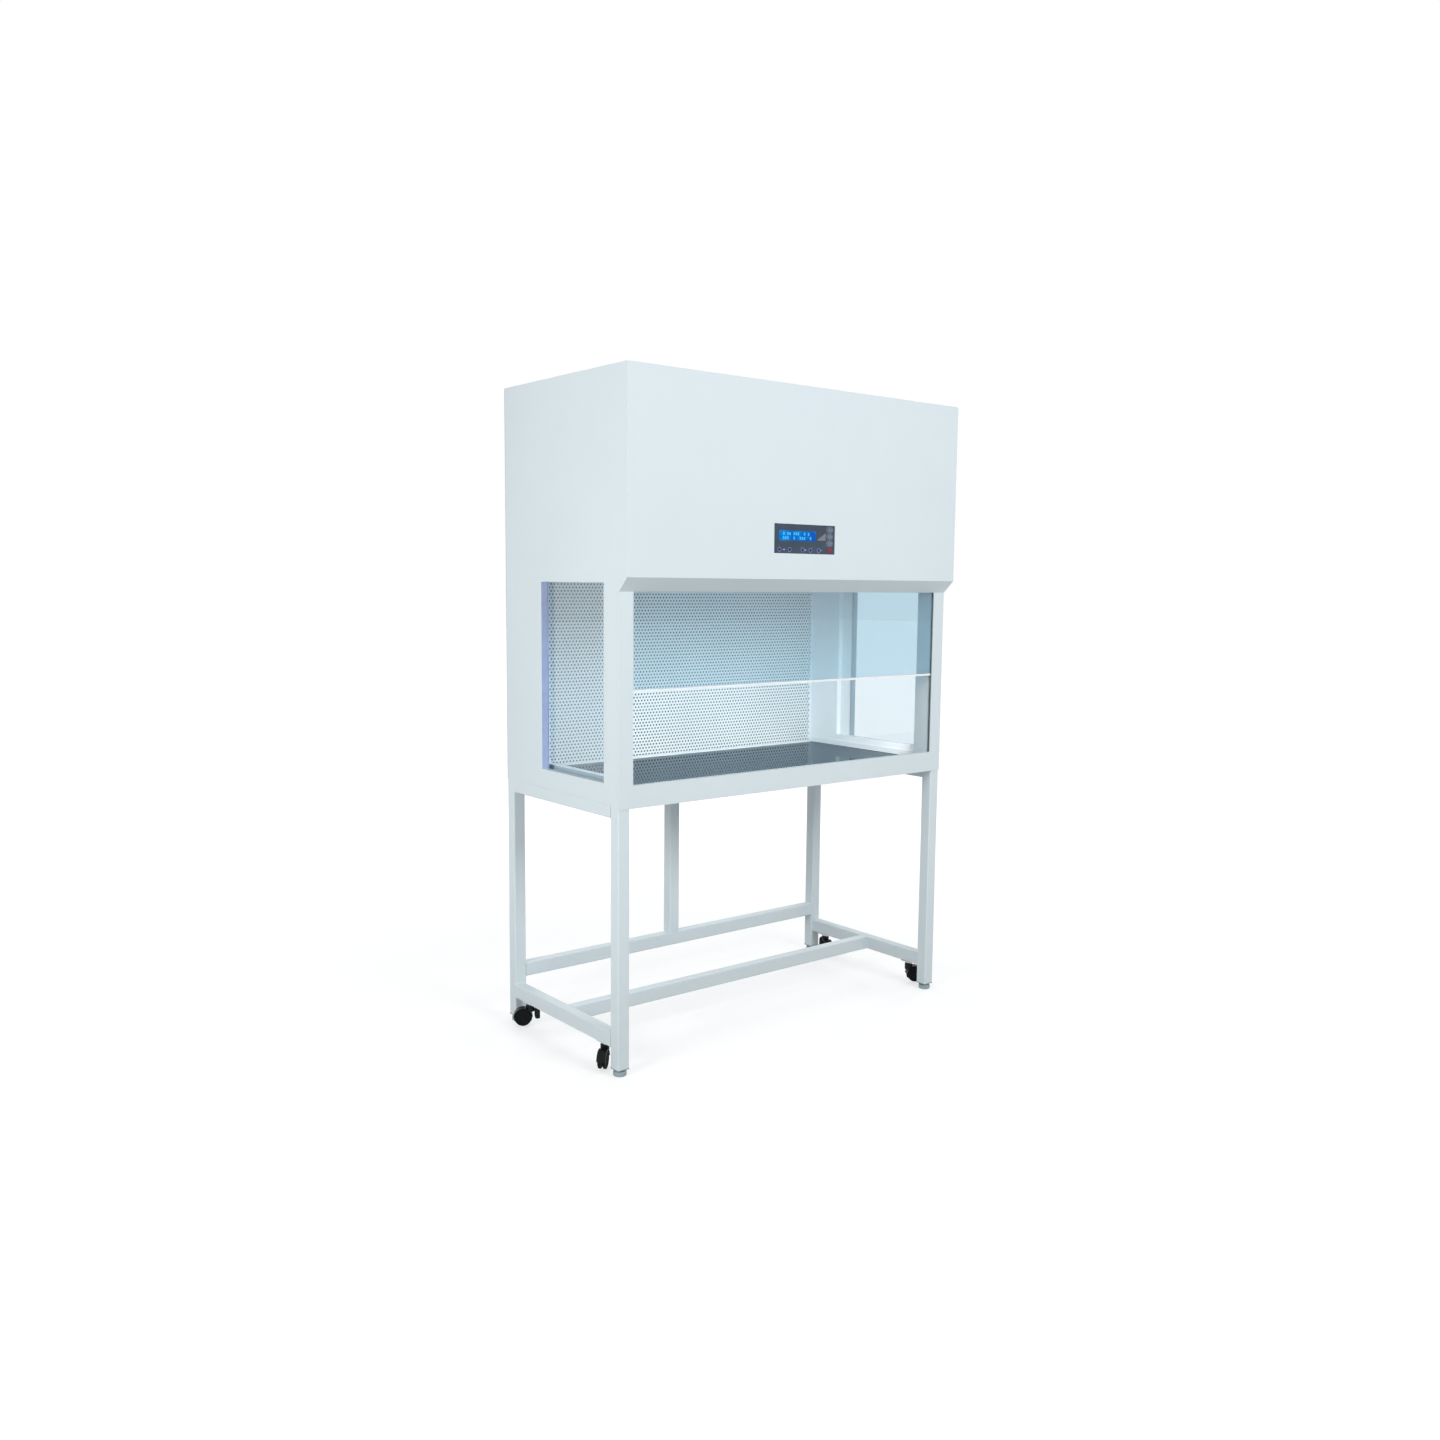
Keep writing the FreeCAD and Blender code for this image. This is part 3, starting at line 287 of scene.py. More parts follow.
# Side liners: the inner side walls, steel plates whose window is cut out and whose edges are
# folded outward to the pane. They are powder coated in a brighter white than the skin.
# The lighter coat throws the light of the opening back into the chamber.
LINER_WHITE = "#EDF2F4"
LINER_SHADE = "#E8EEF1"
finish_node(["side_liners"], powder_coat("white_liner_coat", LINER_WHITE, LINER_SHADE,
                                         POWDER_SCUFF))


# Air screen: the perforated rear wall. Round holes are punched through 1 mm steel in rows set
# half a pitch apart, the edges are folded back, and the sheet is powder coated after punching.
HOLE_PITCH = 0.0112
HOLE_RADIUS = 0.0029
HOLE_CORNERS = 12
ROW_RISE = HOLE_PITCH * math.sqrt(3) / 2
SCREEN_SHEET = 0.001
SCREEN_MARGIN = 0.006
CELL_REACH = HOLE_PITCH / math.sqrt(3)
GRID_PER_M = 20000
BORDER_SUNK = 0.0001
BORDER_LAP = 0.0004
screen_low, screen_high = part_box("air_screen")


def plate(name, faces, points):
    """Mesh object from its faces and corner points."""
    mesh = bpy.data.meshes.new(name)
    mesh.from_pydata(points, [], faces)
    mesh.validate()
    mesh.update()
    made = bpy.data.objects.new(name, mesh)
    bpy.context.scene.collection.objects.link(made)
    return made


def perforated_sheet():
    """Six-sided cells, each with a round hole, fill the wall from edge to edge."""
    columns = int((screen_high.x - screen_low.x - 2 * SCREEN_MARGIN) / HOLE_PITCH)
    rows = int((screen_high.z - screen_low.z - 2 * SCREEN_MARGIN) / ROW_RISE)
    middle_x = (screen_low.x + screen_high.x - (columns - 0.5) * HOLE_PITCH) / 2
    first_x = middle_x + HOLE_PITCH / 4
    first_z = (screen_low.z + screen_high.z - (rows - 1) * ROW_RISE) / 2
    front = screen_low.y
    back = front + SCREEN_SHEET
    points = []
    faces = []
    shared = {}

    def corner(x, z, y):
        key = (round(x * GRID_PER_M), round(z * GRID_PER_M), y)
        if key not in shared:
            shared[key] = len(points)
            points.append((x, y, z))
        return shared[key]

    for row in range(rows):
        odd = row % 2
        for column in range(columns - odd):
            x = first_x + column * HOLE_PITCH + (HOLE_PITCH / 2 if odd else 0.0)
            z = first_z + row * ROW_RISE
            rims = []
            for y in (front, back):
                rims.append(len(points))
                for i in range(HOLE_CORNERS):
                    turn = 2 * math.pi * i / HOLE_CORNERS + math.pi / 6
                    points.append((x + HOLE_RADIUS * math.cos(turn), y,
                                   z + HOLE_RADIUS * math.sin(turn)))
            for i in range(HOLE_CORNERS):
                j = (i + 1) % HOLE_CORNERS
                faces.append((rims[0] + i, rims[0] + j, rims[1] + j, rims[1] + i))
            for side, y in ((0, front), (1, back)):
                cell = [corner(x + CELL_REACH * math.cos(math.pi / 6 + k * math.pi / 3),
                               z + CELL_REACH * math.sin(math.pi / 6 + k * math.pi / 3), y)
                        for k in range(6)]
                for k in range(6):
                    a = 2 * k
                    ring = [cell[k], cell[(k + 1) % 6], rims[side] + (a + 2) % HOLE_CORNERS,
                            rims[side] + a + 1, rims[side] + a]
                    faces.append(tuple(ring if side == 0 else ring[::-1]))
    return points, faces, (first_x, first_z, columns, rows)


def screen_border(first_x, first_z, columns, rows):
    """Plain margin and folded edges of the screen, left over outside the punched field."""
    y0 = screen_low.y + BORDER_SUNK
    y1 = y0 + SCREEN_SHEET - 2 * BORDER_SUNK
    back = screen_high.y
    last_x = first_x + (columns - 1) * HOLE_PITCH
    field_left = first_x - HOLE_PITCH / 2 + BORDER_LAP
    field_right = last_x + HOLE_PITCH / 2 - BORDER_LAP
    field_low = first_z - ROW_RISE / 2 + BORDER_LAP
    field_high = first_z + (rows - 0.5) * ROW_RISE - BORDER_LAP
    fold_left = screen_low.x + SCREEN_SHEET
    fold_right = screen_high.x - SCREEN_SHEET
    fold_top = screen_low.z + SCREEN_SHEET
    blocks = [
        ((screen_low.x, y0, screen_low.z), (field_left, y1, screen_high.z)),
        ((field_right, y0, screen_low.z), (screen_high.x, y1, screen_high.z)),
        ((field_left, y0, screen_low.z), (field_right, y1, field_low)),
        ((field_left, y0, field_high), (field_right, y1, screen_high.z)),
        ((screen_low.x, y1, screen_low.z), (fold_left, back, screen_high.z)),
        ((fold_right, y1, screen_low.z), (screen_high.x, back, screen_high.z)),
        ((fold_left, y1, screen_low.z), (fold_right, back, fold_top)),
    ]
    tall = ROW_RISE - HOLE_RADIUS - BORDER_LAP
    for row in range(1, rows, 2):
        z = first_z + row * ROW_RISE
        for x0, x1 in ((field_left, first_x + BORDER_LAP), (last_x - BORDER_LAP, field_right)):
            blocks.append(((x0, y0, z - tall), (x1, y1, min(z + tall, field_high))))
    corners = []
    walls = []
    for low, high in blocks:
        start = len(corners)
        corners += [(x, y, z) for x in (low[0], high[0]) for y in (low[1], high[1])
                    for z in (low[2], high[2])]
        for face in ((0, 1, 3, 2), (4, 6, 7, 5), (0, 4, 5, 1), (2, 3, 7, 6), (0, 2, 6, 4),
                     (1, 5, 7, 3)):
            walls.append(tuple(start + i for i in face))
    return corners, walls


punched_points, punched_faces, field = perforated_sheet()
air_wall = plate("perforated_air_wall", punched_faces, punched_points)
border_points, border_faces = screen_border(*field)
air_wall_border = plate("air_wall_border", border_faces, border_points)
# Each hole shows a dark middle, which is the painted shade on the rear panel behind it.
punched_powder_coat = powder_coat("punched_powder_coat", "#E6ECEE", "#DDE5E8", POWDER_SCUFF)
for piece in (air_wall, air_wall_border):
    piece.data.materials.append(punched_powder_coat)
    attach(piece, "cabinet")
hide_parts("air_screen")


# Edge strips: white moulded angles, bonded over the upturned sides of the worktop, so that the
# cut edge of the sheet is covered. They are seen as a light band beside the dark steel.
STRIP_THICK = 0.0010
STRIP_LOW_Z = 0.7330
STRIP_FRONT_Y = -0.1955
STRIP_BACK_Y = 0.2685
UPTURN_THICK = 0.0015


def long_profile(outline, y0, y1):
    """Straight moulding along Y with the given X and Z outline."""
    count = len(outline)
    points = [(x, y, z) for y in (y0, y1) for x, z in outline]
    faces = [tuple(range(count - 1, -1, -1)), tuple(range(count, 2 * count))]
    for i in range(count):
        j = (i + 1) % count
        faces.append((i, j, count + j, count + i))
    return points, faces


def both_sides(name, points, faces):
    """One mesh with the given shape on the right and its mirror image on the left."""
    count = len(points)
    mirrored = [(-x, y, z) for x, y, z in points]
    turned = [tuple(count + i for i in reversed(face)) for face in faces]
    return plate(name, list(faces) + turned, points + mirrored)


def oblong(x0, z0, x1, z1):
    """Four corners of an upright rectangle."""
    return [(x0, z0), (x1, z0), (x1, z1), (x0, z1)]


worktop_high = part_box("worktop")[1]
leg_x = worktop_high.x - UPTURN_THICK
top_z = worktop_high.z
angle = [
    (leg_x - STRIP_THICK, STRIP_LOW_Z), (leg_x, STRIP_LOW_Z), (leg_x, top_z),
    (worktop_high.x, top_z), (worktop_high.x, top_z + STRIP_THICK),
    (leg_x - STRIP_THICK, top_z + STRIP_THICK),
]
strips = both_sides("worktop_edge_strips", *long_profile(angle, STRIP_FRONT_Y, STRIP_BACK_Y))
# Moulded PVC has an even, slightly warm white with the same soft sheen as the coat beside it.
white_moulding = powder_coat("white_moulded_pvc", "#E9EFF1", "#E3EAED", POWDER_SCUFF)
strips.data.materials.append(white_moulding)
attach(strips, "cabinet")


# Glazing beads: flat mouldings of the same white PVC, pressed in the reveal of the liner's
# opening. They hold the rear edge of each side window against the skin.
BEAD_IN_X = 0.5702
BEAD_OUT_X = 0.5728
BEAD_FRONT_Y = 0.1064
BEAD_BACK_Y = 0.1477
BEAD_LOW_Z = 0.7592
BEAD_HIGH_Z = 1.2628
beads = both_sides("window_glazing_beads", *long_profile(
    oblong(BEAD_IN_X, BEAD_LOW_Z, BEAD_OUT_X, BEAD_HIGH_Z), BEAD_FRONT_Y, BEAD_BACK_Y))
beads.data.materials.append(white_moulding)
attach(beads, "cabinet")


# Side windows and sash: float glass, cut to size with ground edges. The side panes are nearly
# clear, and the sliding one is tinted blue-green in the melt.
SASH_TINT = "#D0E6F0"
WINDOW_TINT = "#E3EFF5"
GLASS_IOR = 1.52
WAVE_MM = 140.0
WAVE_DEPTH_M = 0.0005


def float_glass(name, tint):
    """Float glass with the faint waviness of the real sheet. Lamps shine through it."""
    material, tree, place, shader = new_material(
        name, IOR=GLASS_IOR, Roughness=0.0, **{"Transmission Weight": 1.0})
    shader.inputs["Base Color"].default_value = linear(tint)
    waves = add(tree, "ShaderNodeTexNoise", {"Vector": (place, "Object")},
                sockets={"Scale": per_metre(WAVE_MM), "Detail": 1.0})
    bump = add(tree, "ShaderNodeBump", {"Height": (waves, "Fac")},
               sockets={"Strength": 0.02, "Distance": WAVE_DEPTH_M})
    tree.links.new(bump.outputs["Normal"], shader.inputs["Normal"])
    passing = add(tree, "ShaderNodeBsdfTransparent", sockets={"Color": linear(tint)})
    ray = add(tree, "ShaderNodeLightPath")
    either = add(tree, "ShaderNodeMixShader", {
        0: (ray, "Is Shadow Ray"), 1: (shader, "BSDF"), 2: (passing, "BSDF")})
    tree.links.new(either.outputs["Shader"], tree.nodes["surface"].inputs["Surface"])
    return material


# The tint turns everything behind the sash blue and a little darker.
finish_node(["sash_glass"], float_glass("tinted_float_glass", SASH_TINT))
# Clear float glass only cools what is behind it, and it shows mostly by its reflections.
finish_node(["side_windows"], float_glass("clear_float_glass", WINDOW_TINT))


# Edge film: a strip of violet protective film on the rear jamb of the left window, as wide as
# the reveal. It is cut from a roll of polyethylene and sticks by itself.
FILM_BACK_Y = 0.106
FILM_OUT_X = -0.5967
FILM_IN_X = -0.5772
FILM_LOW_Z = 0.7572
FILM_HIGH_Z = 1.2628
FILM_THICK = 0.0002
VIOLET_DRIFT_MM = 22.0
film = plate(
    "window_edge_film",
    [(0, 1, 2, 3), (4, 7, 6, 5), (0, 4, 5, 1), (1, 5, 6, 2), (2, 6, 7, 3), (3, 7, 4, 0)],
    [(x, y, z) for y in (FILM_BACK_Y - FILM_THICK, FILM_BACK_Y)
     for x, z in oblong(FILM_OUT_X, FILM_LOW_Z, FILM_IN_X, FILM_HIGH_Z)])
# The thin film's violet runs slowly lighter and darker along the strip.
violet_film, tree, place, shader = new_material("violet_protective_film", Roughness=0.25, IOR=1.45)
violet_drift = add(tree, "ShaderNodeTexNoise", {"Vector": (place, "Object")},
              sockets={"Scale": per_metre(VIOLET_DRIFT_MM), "Detail": 3.0})
tone = add(tree, "ShaderNodeValToRGB", {"Fac": (violet_drift, "Fac")},
           stops=[(0.3, "#BCC6F0"), (0.7, "#C8D1F6")])
tree.links.new(tone.outputs["Color"], shader.inputs["Base Color"])
film.data.materials.append(violet_film)
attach(film, "cabinet")


# Sash edge: a strip of drawn aluminium, pushed on the bottom of the glass and anodised bright.
# It catches the light as a thin white line, with a softer sheen than polished steel.
bright_anodised = rolled_sheet("bright_anodised_aluminium", "#F2F5F6", "#E2E7E9", 0.18, 0.30)
finish_node(["sash_edge_trim"], bright_anodised)


# Sash guides: channels of pale grey nylon round the edges of the glass, from the sill up into the
# canopy. They are moulded in one length and clipped in the posts.
# Nylon without fibres is a pale, waxy grey with a dull sheen.
finish_node(["sash_guides"],
            moulded_plastic("moulded_nylon_grey", "#B8C4C7", "#A8B4B8", 0.45, 0.6))


# Sash balance: two steel bars in the posts, cut from stock and left bare, and two grooved wheels
# of spun aluminium behind the canopy.
# Bare bar is a dark steel with drawing lines along its length.
finish_node(["balance_weights"],
            rolled_sheet("bare_bar_steel", "#8D9296", "#767C80", 0.35, 0.5, run=ALONG_Z))
# Spun aluminium is a light, soft metal with fine tool lines.
spun_aluminium = rolled_sheet("spun_aluminium", "#D0D4D6", "#BCC2C5", 0.28, 0.4)
finish_node(["balance_pulleys"], spun_aluminium)


# Control panel: a dark grey polycarbonate overlay, let into the canopy front and bonded to the
# board's carrier. Its face is embossed with a fine matt texture.
OVERLAY_GRAIN_MM = 0.5
# The texture takes the gloss off, so the dark face shows its blue-grey colour at every angle.
finish_node(["control_bezel"],
            moulded_plastic("matt_polycarbonate_overlay", "#425061", "#374453", 0.42, 0.52,
                            grain_mm=OVERLAY_GRAIN_MM, depth=0.12, gleam=0.3))


# Display: a character display with a blue backlight, fixed on the board behind a clear window.
# The light spreads unevenly from the side, so the blue runs from deep to bright.
PATCH_MM = 34.0
BACKLIGHT = 0.76


def lit_display():
    """Blue backlight, brighter in slow patches, under a window that mirrors little."""
    material, tree, place, shader = new_material(
        "lit_blue_display", Roughness=0.25, IOR=COAT_IOR, **{"Specular IOR Level": 0.05})
    patches = add(tree, "ShaderNodeTexNoise", {"Vector": (place, "Object")},
                  sockets={"Scale": per_metre(PATCH_MM), "Detail": 2.0})
    body = add(tree, "ShaderNodeValToRGB", {"Fac": (patches, "Fac")},
               stops=[(0.3, "#031F4C"), (0.7, "#052A5C")])
    glow = add(tree, "ShaderNodeValToRGB", {"Fac": (patches, "Fac")},
               stops=[(0.36, "#0A60C8"), (0.62, "#1494E6")])
    tree.links.new(body.outputs["Color"], shader.inputs["Base Color"])
    tree.links.new(glow.outputs["Color"], shader.inputs["Emission Color"])
    shader.inputs["Emission Strength"].default_value = BACKLIGHT
    return material


finish_node(["display_window"], lit_display())


# Display cells: the lit cells of two rows of characters, driven through the liquid crystal.
# They are plain blocks of three bars each and spell nothing.
INK_DEPTH = 0.00012
# The screen's real mesh is about 0.1 mm wide, too fine to show, so its speckle is drawn coarser.
INK_SPECK_MM = 0.6
CELL_PITCH = 0.0075
CELL_WIDE = 0.0052
CELL_HIGH = 0.0080
CELL_BARS = 3
BAR_HIGH = 0.0020
FIRST_CELL_IN = 0.0065
LOWER_ROW_RISE = 0.0035
UPPER_ROW_RISE = 0.0148
CELL_ROWS = {
    LOWER_ROW_RISE: (1, 2, 3, 6, 9, 10, 11, 14),
    UPPER_ROW_RISE: (1, 3, 4, 6, 7, 8, 11, 13),
}


def raised_print(name, outlines, face_y, depth=INK_DEPTH):
    """Flat shapes in X and Z with a little thickness, standing proud of the panel's face."""
    corners = []
    sheets = []
    for outline in outlines:
        start = len(corners)
        count = len(outline)
        corners += [(x, face_y, z) for x, z in outline]
        corners += [(x, face_y - depth, z) for x, z in outline]
        sheets.append(tuple(range(start + count, start + 2 * count)))
        for i in range(count):
            j = (i + 1) % count
            sheets.append((start + i, start + j, start + count + j, start + count + i))
    return plate(name, sheets, corners)


def printed_ink(name, light, dark, glow=0.0):
    """Screen-printed ink with the fine speckle of the mesh, or a small area that glows, from a
    backlight or as painted light.
    """
    material, tree, place, shader = new_material(name, Roughness=0.45, IOR=COAT_IOR)
    speck = add(tree, "ShaderNodeTexNoise", {"Vector": (place, "Object")},
                sockets={"Scale": per_metre(INK_SPECK_MM), "Detail": 2.0})
    colour = add(tree, "ShaderNodeValToRGB", {"Fac": (speck, "Fac")},
                 stops=[(0.35, dark), (0.65, light)])
    tree.links.new(colour.outputs["Color"], shader.inputs["Base Color"])
    if glow:
        tree.links.new(colour.outputs["Color"], shader.inputs["Emission Color"])
        shader.inputs["Emission Strength"].default_value = glow
    return material


def on_panel(piece, ink):
    """A mark takes its ink and rides on the cabinet."""
    piece.data.materials.append(ink)
    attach(piece, "cabinet")


display_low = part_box("display_window")[0]
cells = []
for rise, columns in CELL_ROWS.items():
    for column in columns:
        x = display_low.x + FIRST_CELL_IN + column * CELL_PITCH
        z = display_low.z + rise
        for bar in range(CELL_BARS):
            bar_z = z + bar * CELL_HIGH / CELL_BARS
            cells.append(oblong(x, bar_z, x + CELL_WIDE, bar_z + BAR_HIGH))
# A lit cell lets more of the backlight through, so it is a paler blue than its surround.
on_panel(raised_print("display_cells", cells, display_low.y),
         printed_ink("lit_display_cell", "#3FB4EA", "#2FA6E2", 0.45))


# Fan step wedge: a triangle that grows to the right, beside the keys. It is screen-printed in
# grey ink on the overlay and baked, and the ink looks flat and chalky.
WEDGE_LEFT = 0.0315
WEDGE_RIGHT = 0.0640
WEDGE_LOW_Z = 1.3820
WEDGE_HIGH_Z = 1.4027
panel_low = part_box("control_bezel")[0]
wedge = [(WEDGE_LEFT, WEDGE_LOW_Z), (WEDGE_RIGHT, WEDGE_LOW_Z), (WEDGE_RIGHT, WEDGE_HIGH_Z)]
on_panel(raised_print("fan_step_wedge", [wedge], panel_low.y),
         printed_ink("grey_printed_ink", "#7E7F86", "#74757C"))


# Indicator lenses: five small domes of blue acrylic, pushed through the overlay over their lights
# in a row under the display. Unlit, they are a deep blue, and their faint glow is painted light.
LENS_Z = 1.3550
LENS_X = (-0.1041, -0.0680, -0.0210, 0.0084, 0.0390)
LENS_RADIUS = 0.0042
LENS_CORNERS = 20
LENS_DEPTH = 0.0006


def disc(x, z, radius):
    """Corners of a round lens."""
    turns = [2 * math.pi * i / LENS_CORNERS for i in range(LENS_CORNERS)]
    return [(x + radius * math.cos(turn), z + radius * math.sin(turn)) for turn in turns]


# The faint glow given to the unlit lenses below is painted light.
on_panel(raised_print("indicator_lenses", [disc(x, LENS_Z, LENS_RADIUS) for x in LENS_X],
                      panel_low.y, LENS_DEPTH),
         printed_ink("blue_indicator_lens", "#101A86", "#0C1472", 0.05))


# Printed rings: thin lines round each lens and round the three grey keys, screen-printed in a
# silver-grey ink whose flakes make it lighter than the wedge.
RING_CORNERS = 28
LENS_RING_RADIUS = 0.0052
LENS_RING_LINE = 0.0010
KEY_RING_GAP = 0.0004
KEY_RING_LINE = 0.0008


def band(x, z, wide, tall, line, straight=0.0):
    """Printed line round a circle, or round an oval with straight runs above and below."""
    rims = []
    for grown in (0.0, line):
        rim = []
        for i in range(RING_CORNERS):
            turn = 2 * math.pi * (i + 0.5) / RING_CORNERS
            shift = straight if math.cos(turn) > 0 else -straight
            rim.append((x + shift + (wide - straight + grown) * math.cos(turn),
                        z + (tall + grown) * math.sin(turn)))
        rims.append(rim)
    inner, outer = rims
    after = [(i + 1) % RING_CORNERS for i in range(RING_CORNERS)]
    return [[inner[i], inner[j], outer[j], outer[i]] for i, j in enumerate(after)]


rings = []
for x in LENS_X:
    rings += band(x, LENS_Z, LENS_RING_RADIUS, LENS_RING_RADIUS, LENS_RING_LINE)
for name in ("key_fan", "key_lamp", "key_uv"):
    low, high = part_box(name)
    rings += band((low.x + high.x) / 2, (low.z + high.z) / 2,
                  (high.x - low.x) / 2 + KEY_RING_GAP, (high.z - low.z) / 2 + KEY_RING_GAP,
                  KEY_RING_LINE, straight=(high.x - low.x - high.z + low.z) / 2)
on_panel(raised_print("printed_rings", rings, panel_low.y),
         printed_ink("silver_grey_ink", "#9DA9BC", "#909CB0"))


# Indicator ticks: short printed dashes beside three of the lenses, in the palest ink of the
# panel, so that they stand out as small light marks.
TICK_X = (-0.0880, -0.0110, 0.0450)
TICK_HALF_WIDE = 0.0034
TICK_HALF_HIGH = 0.0014
ticks = [oblong(x - TICK_HALF_WIDE, LENS_Z - TICK_HALF_HIGH,
                x + TICK_HALF_WIDE, LENS_Z + TICK_HALF_HIGH) for x in TICK_X]
on_panel(raised_print("indicator_ticks", ticks, panel_low.y),
         printed_ink("pale_printed_ink", "#A9BCCB", "#9DB0C0"))


# Keys: four oval caps of glossy moulded plastic, each on a short stem behind the overlay, three
# of them grey and the power key red.
# The caps have a smooth, hard skin with a clear highlight along the upper edge.
finish_node(["key_fan", "key_lamp", "key_uv"],
            moulded_plastic("moulded_grey_key", "#717C8A", "#66717F", 0.28, 0.36, depth=0.1))
finish_node(["key_power"],
            moulded_plastic("moulded_red_key", "#94203C", "#851A34", 0.28, 0.36, depth=0.1))


# Control board: glass fibre board with a green solder mask, screwed behind the panel. The mask
# is a smooth lacquer, which looks deep green and a little wet.
finish_node(["control_board"],
            moulded_plastic("solder_mask_green", "#1F6B3A", "#185A30", 0.25, 0.4))


# Air side: the box over the chamber, the deck under the fans and the two spiral casings, all cut
# and folded from galvanised sheet and riveted.
# Zinc from the bath dries in a mottled, dull grey with no direction.
galvanised = rolled_sheet("galvanised_sheet_steel", "#BFC5C8", "#A6ADB1", 0.35, 0.5, run=NO_RUN)
finish_node(["supply_box", "blower_deck", "blower_casings"], galvanised)


# Fan rotor and motor: two squirrel-cage wheels of aluminium blades on one shaft, and between the
# casings a motor in a cast housing, which is dipped in dark enamel and baked.
finish_node(["blower_wheels"], spun_aluminium)
# Baked enamel on a casting is dull and slightly uneven.
finish_node(["blower_motor"], powder_coat("motor_enamel", "#5A6268", "#4E565B", "#43494D"))


# Filters: pleated fleece in a frame of pressed card, the fine one over the chamber's ceiling and
# the coarse one under the roof's slots. Both drop in and are held by their own weight.
FLEECE_GRAIN_MM = 1.4
# Fleece and card are off-white, fibrous and quite without gloss.
finish_node(["main_filter", "prefilter"],
            moulded_plastic("filter_fleece_and_card", "#EEEDE6", "#E2E0D6", 0.8, 0.95,
                            grain_mm=FLEECE_GRAIN_MM, depth=0.6))


# Lamp fitting: a white enamelled tray with two tubes, side by side under the chamber's ceiling.
# The enamel and the glass of the tubes are smooth and nearly pure white.
finish_node(["lamp_fitting"],
            moulded_plastic("white_enamel_and_opal_glass", "#F3F5F5", "#EAEDED", 0.22, 0.34))


# Power inlet: a black moulded socket, snapped into the cut-out of the rear panel.
# Its hard plastic is nearly black, with a dull sheen on the rim.
finish_node(["power_inlet"],
            moulded_plastic("black_moulded_inlet", "#1A1B1C", "#121314", 0.35, 0.5))


# Studio: a pale floor under a white surround, four soft boxes and even light from all sides, so
# that every coat shows about in its own colour. The floor glows less near the cabinet, where the
# lamps light it, and so it keeps the shadow there.
FLOOR_SIZE = 60.0
FLOOR_LIFT = 0.83
FLOOR_LIFT_NEAR = 0.62
LIFT_NEAR_M = 0.9
LIFT_FAR_M = 3.2
FLOOR_TONES_PER_M = 40.0
WHITE = (1, 1, 1, 1)
AMBIENT = 0.42
LAMPS = {
    "key_soft_box": ((0.25, -3.40, 2.40), (0.0, 0.0, 1.15), 1.6, 1.4, 65.0),
    "side_soft_box": ((-3.20, -0.80, 1.60), (-0.6, 0.0, 0.9), 1.0, 1.0, 46.0),
    "rear_soft_box": ((0.60, 3.40, 2.30), (0.0, 0.0, 1.15), 1.6, 1.4, 40.0),
    "right_soft_box": ((3.20, 0.60, 1.60), (0.6, 0.0, 0.9), 1.0, 1.0, 22.0),
    "chamber_fill_lamp": ((0.0, -0.19, 0.87), (0.0, 0.27, 0.88), 1.05, 0.20, 2.4),
}


def seen_directly(tree):
    """1 for rays from the camera, off gloss or through glass, and 0 for rays that carry light."""
    ray = add(tree, "ShaderNodeLightPath")
    gloss = add(tree, "ShaderNodeMath", {0: (ray, "Is Camera Ray"), 1: (ray, "Is Glossy Ray")},
                operation="MAXIMUM")
    return add(tree, "ShaderNodeMath", {0: (gloss, "Value"), 1: (ray, "Is Transmission Ray")},
               operation="MAXIMUM")


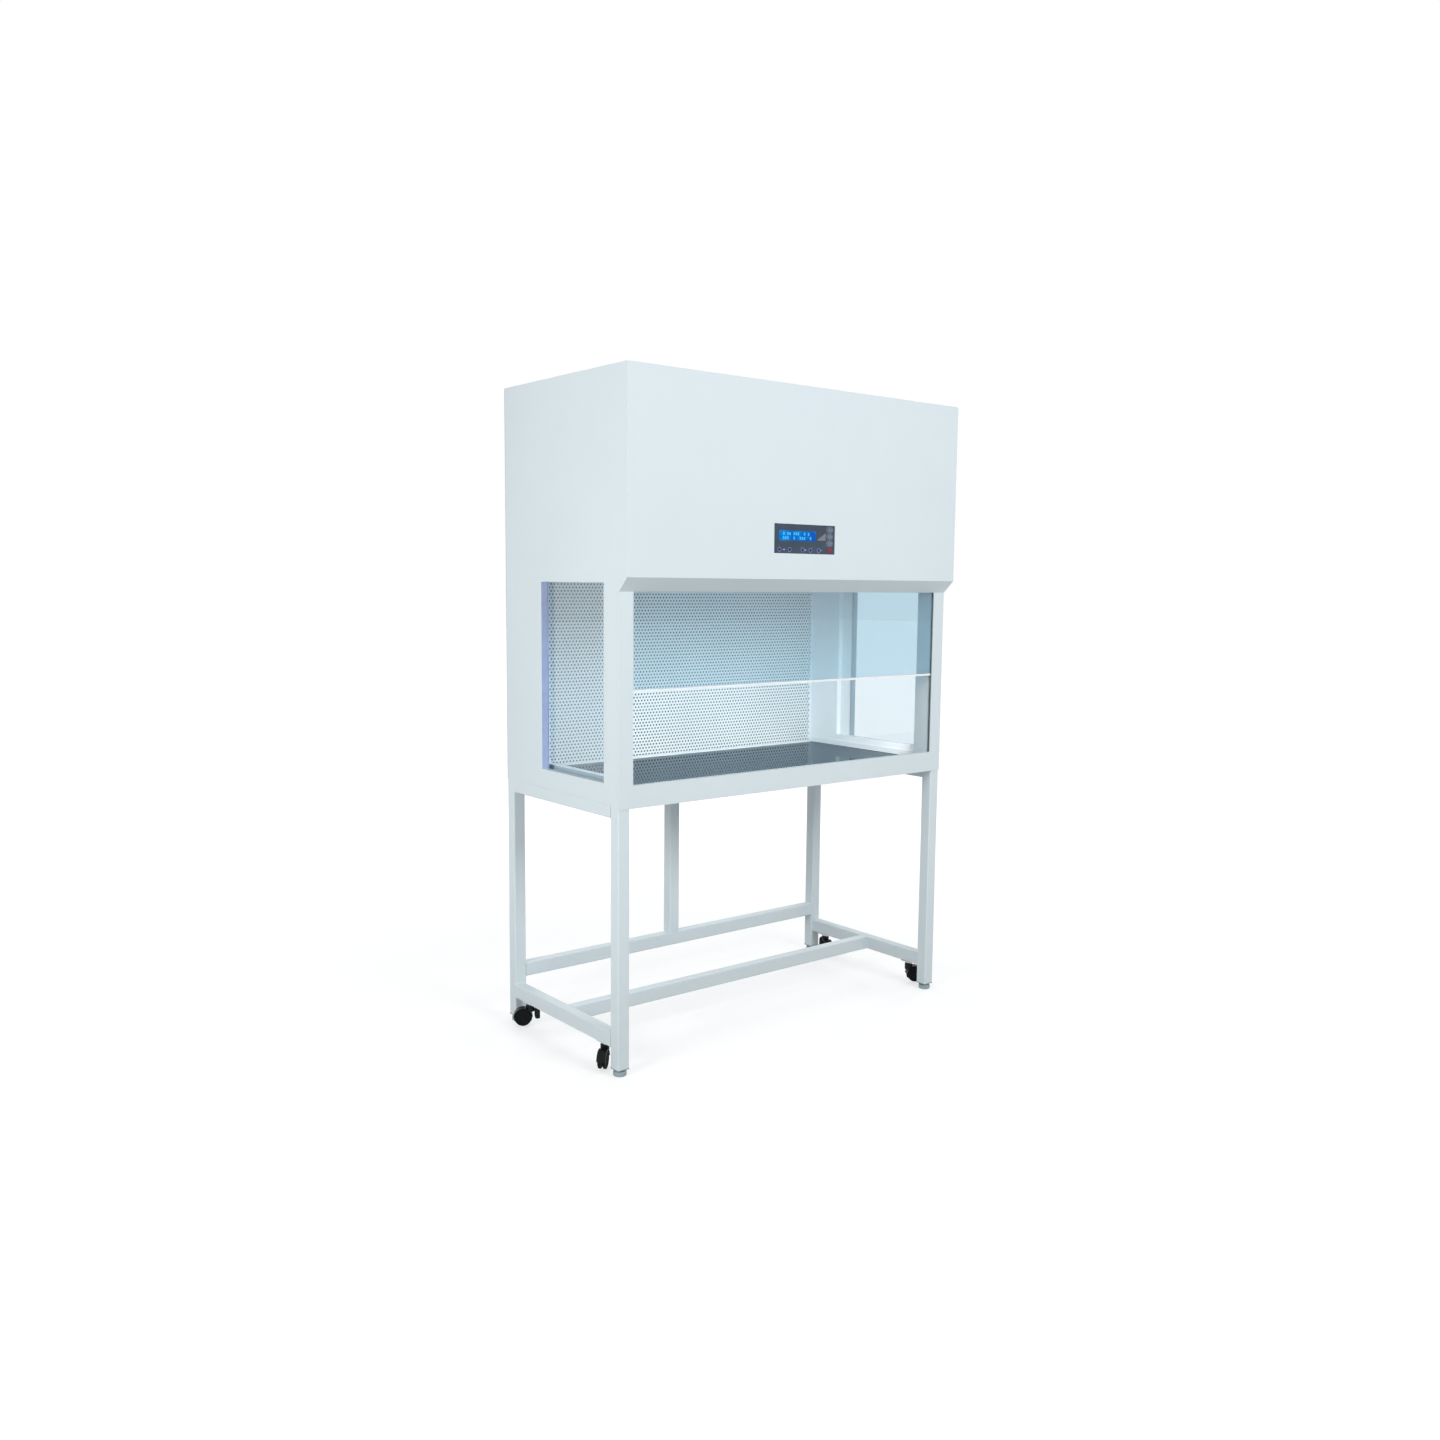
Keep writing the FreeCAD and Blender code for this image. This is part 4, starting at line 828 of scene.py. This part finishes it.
def studio_floor():
    """Pale matt floor that keeps the cabinet's shadow and meets the white surround."""
    half = FLOOR_SIZE / 2
    floor = plate("studio_floor", [(0, 1, 2, 3)],
                  [(-half, -half, 0), (half, -half, 0), (half, half, 0), (-half, half, 0)])
    material, tree, place, shader = new_material("pale_studio_floor", Roughness=0.9)
    fine = add(tree, "ShaderNodeTexNoise", {"Vector": (place, "Object")},
               sockets={"Scale": FLOOR_TONES_PER_M})
    tone = add(tree, "ShaderNodeValToRGB", {"Fac": (fine, "Fac")},
               stops=[(0.3, "#A6A8A9"), (0.7, "#AAACAD")])
    tree.links.new(tone.outputs["Color"], shader.inputs["Base Color"])
    reach = add(tree, "ShaderNodeVectorMath", {"Vector": (place, "Object")}, operation="LENGTH")
    rise = add(tree, "ShaderNodeMapRange", {"Value": (reach, "Value")},
               interpolation_type="SMOOTHSTEP",
               sockets={"From Min": LIFT_NEAR_M, "From Max": LIFT_FAR_M,
                        "To Min": FLOOR_LIFT_NEAR, "To Max": FLOOR_LIFT})
    lift = add(tree, "ShaderNodeMath", {0: (seen_directly(tree), "Value"), 1: (rise, "Result")},
               operation="MULTIPLY")
    shader.inputs["Emission Color"].default_value = WHITE
    tree.links.new(lift.outputs["Value"], shader.inputs["Emission Strength"])
    floor.data.materials.append(material)


studio_floor()

world = bpy.data.worlds.new("white_surround")
bpy.context.scene.world = world
world.use_nodes = True
sky = world.node_tree
sky.nodes.clear()
level = add(sky, "ShaderNodeMapRange", {"Value": (seen_directly(sky), "Value")},
            sockets={"To Min": AMBIENT, "To Max": 1.0})
surround = add(sky, "ShaderNodeBackground", {"Strength": (level, "Result")},
               sockets={"Color": WHITE})
add(sky, "ShaderNodeOutputWorld", {"Surface": (surround, "Background")})

for name, (place, aim, wide, high, watts) in LAMPS.items():
    lamp = bpy.data.objects.new(name, bpy.data.lights.new(name, "AREA"))
    lamp.data.shape = "RECTANGLE"
    lamp.data.size = wide
    lamp.data.size_y = high
    lamp.data.energy = watts
    lamp.location = place
    lamp.rotation_mode = "QUATERNION"
    lamp.rotation_quaternion = (Vector(aim) - Vector(place)).to_track_quat("-Z", "Y")
    lamp.visible_camera = False
    lamp.visible_glossy = False
    lamp.visible_transmission = False
    bpy.context.scene.collection.objects.link(lamp)


# Camera: a little below standing eye height, in front of the cabinet's left corner. Its three
# directions are unit vectors in the part's frame.
CAMERA_PLACE = (-2.34264, -2.82484, 1.26548)
CAMERA_RIGHT = (0.778809, -0.627190, 0.009417)
CAMERA_DOWN = (-0.061076, -0.090766, -0.993998)
CAMERA_AHEAD = (0.624280, 0.773559, -0.108996)
LENS_MM = 31.3535
SENSOR_MM = 36.0
camera = bpy.data.objects.new("camera", bpy.data.cameras.new("camera"))
bpy.context.scene.collection.objects.link(camera)
camera.data.lens = LENS_MM
camera.data.sensor_width = SENSOR_MM
turned = Matrix([CAMERA_RIGHT, [-v for v in CAMERA_DOWN], [-v for v in CAMERA_AHEAD]]).transposed()
camera.matrix_world = Matrix.Translation(CAMERA_PLACE) @ turned.to_4x4()
bpy.context.scene.camera = camera
bpy.context.scene.view_settings.view_transform = "Standard"
